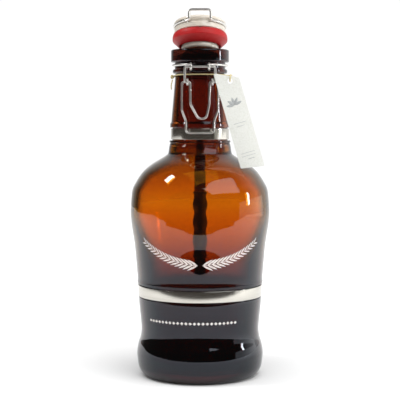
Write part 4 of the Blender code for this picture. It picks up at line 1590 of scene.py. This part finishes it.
@dataclass
class HangTag:
    """The card: slanted ends, round corners and a punched hole, bowed a little, with plain print."""

    shop: Workshop
    finishes: Palette
    width: float = 21.6
    length: float = 90.3
    top_cut: float = 10.0
    foot_cut: float = 3.7
    thickness: float = 0.5
    lean_deg: float = 16.2
    tip_deg: float = 1.5
    hole_r: float = 2.5
    hole: tuple[float, float] = (12.7, 10.9)
    bow: float = 0.35
    corner_r: float = 1.0
    # From the card's top left corner: each printed rule's left and right end, height and thickness
    rules_at: tuple[tuple[float, float, float, float], ...] = (
        (5.0, 16.5, -50.0, 0.35), (7.0, 14.5, -53.0, 0.35), (4.0, 17.0, -78.0, 0.3), (4.0, 17.0, -80.8, 0.3),
        (9.0, 15.5, -84.0, 0.45),
    )
    fan_at: tuple[float, float] = (10.6, -33.0)
    fan_leans: tuple[float, ...] = (0.25, 0.95, 1.65, 2.35, 3.05)
    leaf_length: float = 7.5
    leaf_half: float = 1.25
    ink: float = 0.02

    def hung(self, flat: Array) -> Array:
        """Points (across, up, out) from the hole, leaned, tipped and hung on the pivot, with the card's bow.

        The bow is b (1 - (x / half width)^2), outwards.
        """
        x = flat[:, 0] + self.hole[0] - self.width / 2
        out = flat[:, 2] + self.bow * (1 - (2 * x / self.width) ** 2) - self.bow / 2
        lean, tip = math.radians(self.lean_deg), math.radians(self.tip_deg)
        across = flat[:, 0] * math.cos(lean) - flat[:, 1] * math.sin(lean)
        up = flat[:, 0] * math.sin(lean) + flat[:, 1] * math.cos(lean)
        y = up * math.sin(tip) - out * math.cos(tip)
        z = up * math.cos(tip) + out * math.sin(tip)
        return np.stack((across, y, z), axis=1) + self.shop.places.tag_pivot

    def card(self) -> Surface:
        """Rings from the hole out to the edge, round it and back, joined into one closed sheet."""
        corners = (
            (0, 0, self.corner_r),
            (self.width, -self.top_cut, self.corner_r),
            (self.width, -self.length - self.foot_cut, self.corner_r),
            (0, -self.length, self.corner_r),
        )
        loop = filleted(corners, closed=True, steps=5) + (-self.hole[0], self.hole[1])
        outline = evenly(np.vstack((loop, loop[:1])), 0.7)[:-1]
        inner = unit(outline) * self.hole_r
        shares = np.linspace(0, 1, 14) ** 1.3
        sheet = inner[None] + shares[:, None, None] * (outline - inner)[None]
        half = self.thickness / 2
        front = np.concatenate((sheet, np.full((*sheet.shape[:2], 1), half)), axis=2)
        back = np.concatenate((sheet[::-1], np.full((*sheet.shape[:2], 1), -half)), axis=2)
        surface = loft(np.concatenate((front, back)), closed=True)
        return surface.moved(self.hung)

    def printed(self) -> Surface:
        """Plain rules and a fan of leaves, as thin strips just off the card's front.

        A leaf's half width is w sin(pi s)^0.8 at share s of its length.
        """
        lift = self.thickness / 2 + self.ink
        shapes = []
        for left, right, height, thick in self.rules_at:
            x, z = np.meshgrid(np.linspace(left, right, 9), np.linspace(0, thick, 2), indexing="ij")
            shapes.append((x, height + z))
        s, t = np.meshgrid(np.linspace(0, 1, 16), np.linspace(-1, 1, 5), indexing="ij")
        half = self.leaf_half * np.sin(np.pi * s) ** 0.8 + 0.02
        along = self.leaf_length * s
        for lean in self.fan_leans:
            x = self.fan_at[0] + along * math.cos(lean) - t * half * math.sin(lean)
            shapes.append((x, self.fan_at[1] + along * math.sin(lean) + t * half * math.cos(lean)))
        strips = [
            patch(np.stack((x - self.hole[0], z + self.hole[1], np.full_like(x, lift)), axis=-1))
            for x, z in shapes
        ]
        surface = strips[0]
        for strip in strips[1:]:
            surface += strip
        return surface.moved(self.hung)

    def build(self) -> None:
        """Makes the card and its print."""
        self.shop.piece("hanging_card", self.card(), self.finishes.card, Body.TAG, Slot.CARD, ["hang_tag"])
        self.shop.piece(
            "card_print", self.printed(), self.finishes.grey_ink, Body.TAG, Slot.CARD, solid=self.ink
        )


@dataclass
class NeckCord:
    """The cord round the neck and through the card's hole, tied on the left in a knot with a loose end."""

    shop: Workshop
    finishes: Palette
    radius: float = 0.6
    strands: int = 3
    lay: float = 4.2  # length in which the strands go round once
    groove_share: float = 0.14
    cut_share: float = 0.55
    sides: int = 18
    spacing: float = 0.4
    knot_centre: tuple[float, float, float] = (-25.9, -2.6, 281.8)
    knot_r: float = 2.1
    # Points: from the knot round the neck's front, through the card and round the back to the knot
    route: tuple[tuple[float, float, float], ...] = (
        (-24.2, -5.1, 282.9), (-21.0, -12.1, 283.3), (-15.6, -18.6, 283.3), (-8.3, -22.8, 283.3),
        (0.0, -24.2, 283.3), (8.3, -22.8, 283.3), (15.6, -18.6, 283.3), (21.0, -12.1, 283.3),
        (23.5, -6.2, 283.3), (24.5, -1.8, 283.3), (26.4, 0.8, 283.3), (28.7, 0.2, 283.3),
        (29.7, -2.8, 283.2), (29.6, -9.0, 282.9), (29.2, -17.0, 282.5), (28.6, -25.0, 282.4),
        (28.1, -30.4, 282.5), (27.7, -33.4, 281.8), (27.5, -34.8, 279.6), (27.4, -34.2, 277.6),
        (27.4, -31.8, 276.5), (27.4, -29.6, 277.1), (27.3, -27.4, 278.6), (27.0, -22.5, 280.1),
        (26.5, -16.0, 281.1), (25.7, -9.0, 281.6), (24.9, -1.5, 281.7), (23.9, 4.6, 281.7),
        (21.0, 12.3, 281.8), (15.6, 18.7, 281.9), (8.3, 22.9, 282.1), (0.0, 24.4, 282.3),
        (-8.3, 22.9, 282.5), (-15.6, 18.7, 282.7), (-21.0, 12.3, 282.8), (-23.9, 5.4, 282.7),
        (-25.2, 0.3, 282.3),
    )
    tail: tuple[tuple[float, float, float], ...] = (
        (-25.9, -2.8, 279.2), (-26.1, -3.4, 277.8), (-26.7, -4.4, 275.6), (-27.0, -5.0, 272.8),
        (-26.8, -5.4, 269.8),
    )

    def twisted(self, path: Array, closed: bool = False) -> Surface:
        """A cord of strands: radius r (1 - g + g cos(n (a - tau s / lay))) at angle a and length s."""
        tangents, normals = steady_normals(path, closed)
        along = lengths_along(path)
        phase = self.strands * (ring_angles(self.sides)[None] - math.tau * along[:, None] / self.lay)
        radii = self.radius * (1 - self.groove_share + self.groove_share * np.cos(phase))
        if not closed:
            radii[[0, -1]] *= self.cut_share
        return loft(rings_round(path, tangents, normals, radii), closed=closed)

    def knot(self) -> Surface:
        """A tight trefoil: ((2 + cos 3a) cos 2a, (2 + cos 3a) sin 2a, sin 3a), scaled to the knot's size."""
        a = np.linspace(0, math.tau, 181)[:-1]
        flat = 2 + np.cos(3 * a)
        shape = np.stack((flat * np.cos(2 * a), 1.25 * np.sin(3 * a), flat * np.sin(2 * a)), axis=1)
        size = (self.knot_r - self.radius) / 3
        return self.twisted(np.array(self.knot_centre) + shape * size, closed=True)

    def build(self) -> None:
        path = evenly(flowing(np.array(self.route), 12), self.spacing)
        end = evenly(flowing(np.array(self.tail), 12), self.spacing)
        cord, knot, loose = (
            self.shop.piece(name, surface, self.finishes.cord, Body.BOTTLE, Slot.CORD, [node], sharp_deg=80)
            for name, surface, node in (
                ("neck_cord", self.twisted(path), "tag_cord"),
                ("cord_trefoil_knot", self.knot(), "cord_knot"),
                ("cord_loose_end", self.twisted(end), "cord_tail"),
            )
        )
        in_frame = (path + (0, self.shop.places.axis_y, 0)) * MM
        2 * self.radius * MM


# --------------------------------------------------------------------------------------------------
# The studio


@dataclass(frozen=True)
class Softbox:
    """A rectangular lamp that faces the bottle. Its bearing runs from the front towards the right."""

    name: str
    bearing_deg: float
    elevation_deg: float
    distance: float
    width: float
    height: float
    radiance: float
    aim_height: float = 0.15
    reflected: bool = True

    def build(self, axis_y: float) -> None:
        """Places the lamp, with its power worked out from its radiance: pi x area x radiance.

        Args:
            axis_y: The bottle's axis, in metres.
        """
        lamp = bpy.data.lights.new(self.name, "AREA")
        lamp.shape = "RECTANGLE"
        lamp.size, lamp.size_y = self.width, self.height
        lamp.energy = math.pi * self.width * self.height * self.radiance
        bearing, elevation = math.radians(self.bearing_deg), math.radians(self.elevation_deg)
        level = math.cos(elevation)
        away = Vector((math.sin(bearing) * level, -math.cos(bearing) * level, math.sin(elevation)))
        placed = bpy.data.objects.new(self.name, lamp)
        placed.location = Vector((0, axis_y, self.aim_height)) + away * self.distance
        placed.rotation_euler = away.to_track_quat("Z", "Y").to_euler()
        placed.visible_camera = False
        placed.visible_glossy = self.reflected
        bpy.context.scene.collection.objects.link(placed)


@dataclass
class Studio:
    """White paper to stand on, open dark space in front of it, soft lamps, and the camera."""

    finishes: Palette
    axis_y: float
    camera_distance: float = 1.073
    camera_height: float = 0.233
    camera_pitch_deg: float = -3.58
    lens_mm: float = 102.15
    room: str = "#4a4642"
    surround_white: float = 1.02
    backdrop_bearing_deg: float = 155.0
    # How squarely a reflection must face the backdrop before it shows it, and before it shows it fully
    backdrop_edge: tuple[float, float] = (0.2, 0.9)
    # Soft light from the surround, from a little below eye level up to straight above
    glow_heights: tuple[float, float] = (-0.2, 1.0)
    low_glow: float = 0.2
    high_glow: float = 0.75
    paper_front: float = 0.40
    paper_reach: float = 3.0
    # Each lamp's bearing, elevation, distance, width, height, radiance and aim
    softboxes: tuple[Softbox, ...] = (
        Softbox("window_softbox", 45, 40, 1.3, 1.25, 0.85, 2.2),
        Softbox("small_softbox", -80, 52, 1.1, 0.16, 0.22, 26.0),
        Softbox("strip_softbox", 86, 6, 1.2, 0.10, 0.30, 20.0, 0.22),
        Softbox("right_reflector", 96, -5, 1.5, 1.7, 0.36, 0.75, 0.23),
        Softbox("top_softbox", 20, 78, 1.5, 1.0, 1.0, 2.9, reflected=False),
    )

    def world(self) -> None:
        """White for straight sight. Reflections show a white backdrop behind and a dark room in front."""
        world = bpy.data.worlds.new("studio_surround")
        world.use_nodes = True
        tree = world.node_tree
        tree.nodes.clear()
        light_path = add_node(tree, "ShaderNodeLightPath")
        direction = add_node(tree, "ShaderNodeTexCoord").outputs["Generated"]
        height = add_node(tree, "ShaderNodeSeparateXYZ", Vector=direction).outputs["Z"]
        bearing = math.radians(self.backdrop_bearing_deg)
        backdrop = (math.sin(bearing), -math.cos(bearing), 0.0)
        towards = add_node(
            tree, "ShaderNodeVectorMath", {"operation": "DOT_PRODUCT"}, i0=direction, i1=backdrop
        ).outputs["Value"]
        edge_from, edge_to = self.backdrop_edge
        smooth = {"interpolation_type": "SMOOTHSTEP"}
        share = add_node(
            tree, "ShaderNodeMapRange", smooth, i0=towards, i1=edge_from, i2=edge_to
        ).outputs[0]
        low, high = self.glow_heights
        glow = add_node(
            tree, "ShaderNodeMapRange", i0=height, i1=low, i2=high, i3=self.low_glow, i4=self.high_glow
        ).outputs[0]
        plain = (1, 1, 1, 1)
        white = add_node(
            tree, "ShaderNodeBackground", Color=plain, Strength=self.surround_white
        ).outputs[0]
        room = add_node(tree, "ShaderNodeBackground", Color=linear(self.room), Strength=1.0).outputs[0]
        soft = add_node(tree, "ShaderNodeBackground", Color=plain, Strength=glow).outputs[0]
        mirrored_view = add_node(tree, "ShaderNodeMixShader", Fac=share, i1=room, i2=white).outputs[0]
        bounced = add_node(
            tree, "ShaderNodeMixShader", Fac=light_path.outputs["Is Diffuse Ray"], i1=mirrored_view, i2=soft
        ).outputs[0]
        # The surround counts as a bounce, so sight through glass alone has just one bounce that is no pass
        other = add_node(
            tree,
            "ShaderNodeMath",
            {"operation": "SUBTRACT"},
            i0=light_path.outputs["Ray Depth"],
            i1=light_path.outputs["Transmission Depth"],
        ).outputs[0]
        straight = add_node(tree, "ShaderNodeMath", {"operation": "LESS_THAN"}, i0=other, i1=1.5).outputs[0]
        mix = add_node(tree, "ShaderNodeMixShader", Fac=straight, i1=bounced, i2=white)
        add_node(tree, "ShaderNodeOutputWorld", Surface=mix.outputs[0])
        bpy.context.scene.world = world

    def paper(self) -> None:
        """The sheet of paper. Its front edge is just outside the view."""
        reach, front = self.paper_reach, self.axis_y - self.paper_front
        corners = ((-reach, front, 0), (reach, front, 0), (reach, reach, 0), (-reach, reach, 0))
        mesh = bpy.data.meshes.new("paper_sweep")
        mesh.from_pydata(corners, [], [(0, 1, 2, 3)])
        mesh.materials.append(self.finishes.paper)
        paper = bpy.data.objects.new("paper_sweep", mesh)
        bpy.context.scene.collection.objects.link(paper)

    def camera(self) -> None:
        """A long lens in front of the bottle, a little above its shoulder."""
        data = bpy.data.cameras.new("front_camera")
        data.lens = self.lens_mm
        data.sensor_width = 36.0
        camera = bpy.data.objects.new("front_camera", data)
        camera.location = (0, self.axis_y - self.camera_distance, self.camera_height)
        camera.rotation_euler = (math.radians(90 + self.camera_pitch_deg), 0, 0)
        bpy.context.scene.collection.objects.link(camera)
        bpy.context.scene.camera = camera

    def build(self) -> None:
        """Sets up the surround, the paper, the lamps and the camera."""
        bpy.context.scene.view_settings.view_transform = "Standard"
        self.world()
        self.paper()
        for softbox in self.softboxes:
            softbox.build(self.axis_y)
        self.camera()


def main() -> None:
    """Builds every sub-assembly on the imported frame."""
    logging.basicConfig(level=logging.INFO, format="%(name)s: %(message)s")
    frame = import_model()
    places = Places.read(frame)
    shop = Workshop(places)
    finishes = Palette()
    Studio(finishes, places.axis_y * MM).build()
    NeckCord(shop, finishes).build()
    glass = Glass(shop, finishes)
    glass.build()
    Ornament(shop, finishes, glass).build()
    neck = Band(shop, finishes, "neck", glass.neck_band_z, glass.neck_seat_r)
    body = Band(shop, finishes, "body", glass.body_band_z, glass.body_seat_r)
    neck.build()
    body.build()
    Handle(shop, finishes, neck, body).build()
    closure = Closure(shop, finishes)
    closure.build()
    Stopper(shop, finishes, closure).build()
    HangTag(shop, finishes).build()
    LOG.info("%d pieces", len(shop.made))


if __name__ == "__main__":
    main()
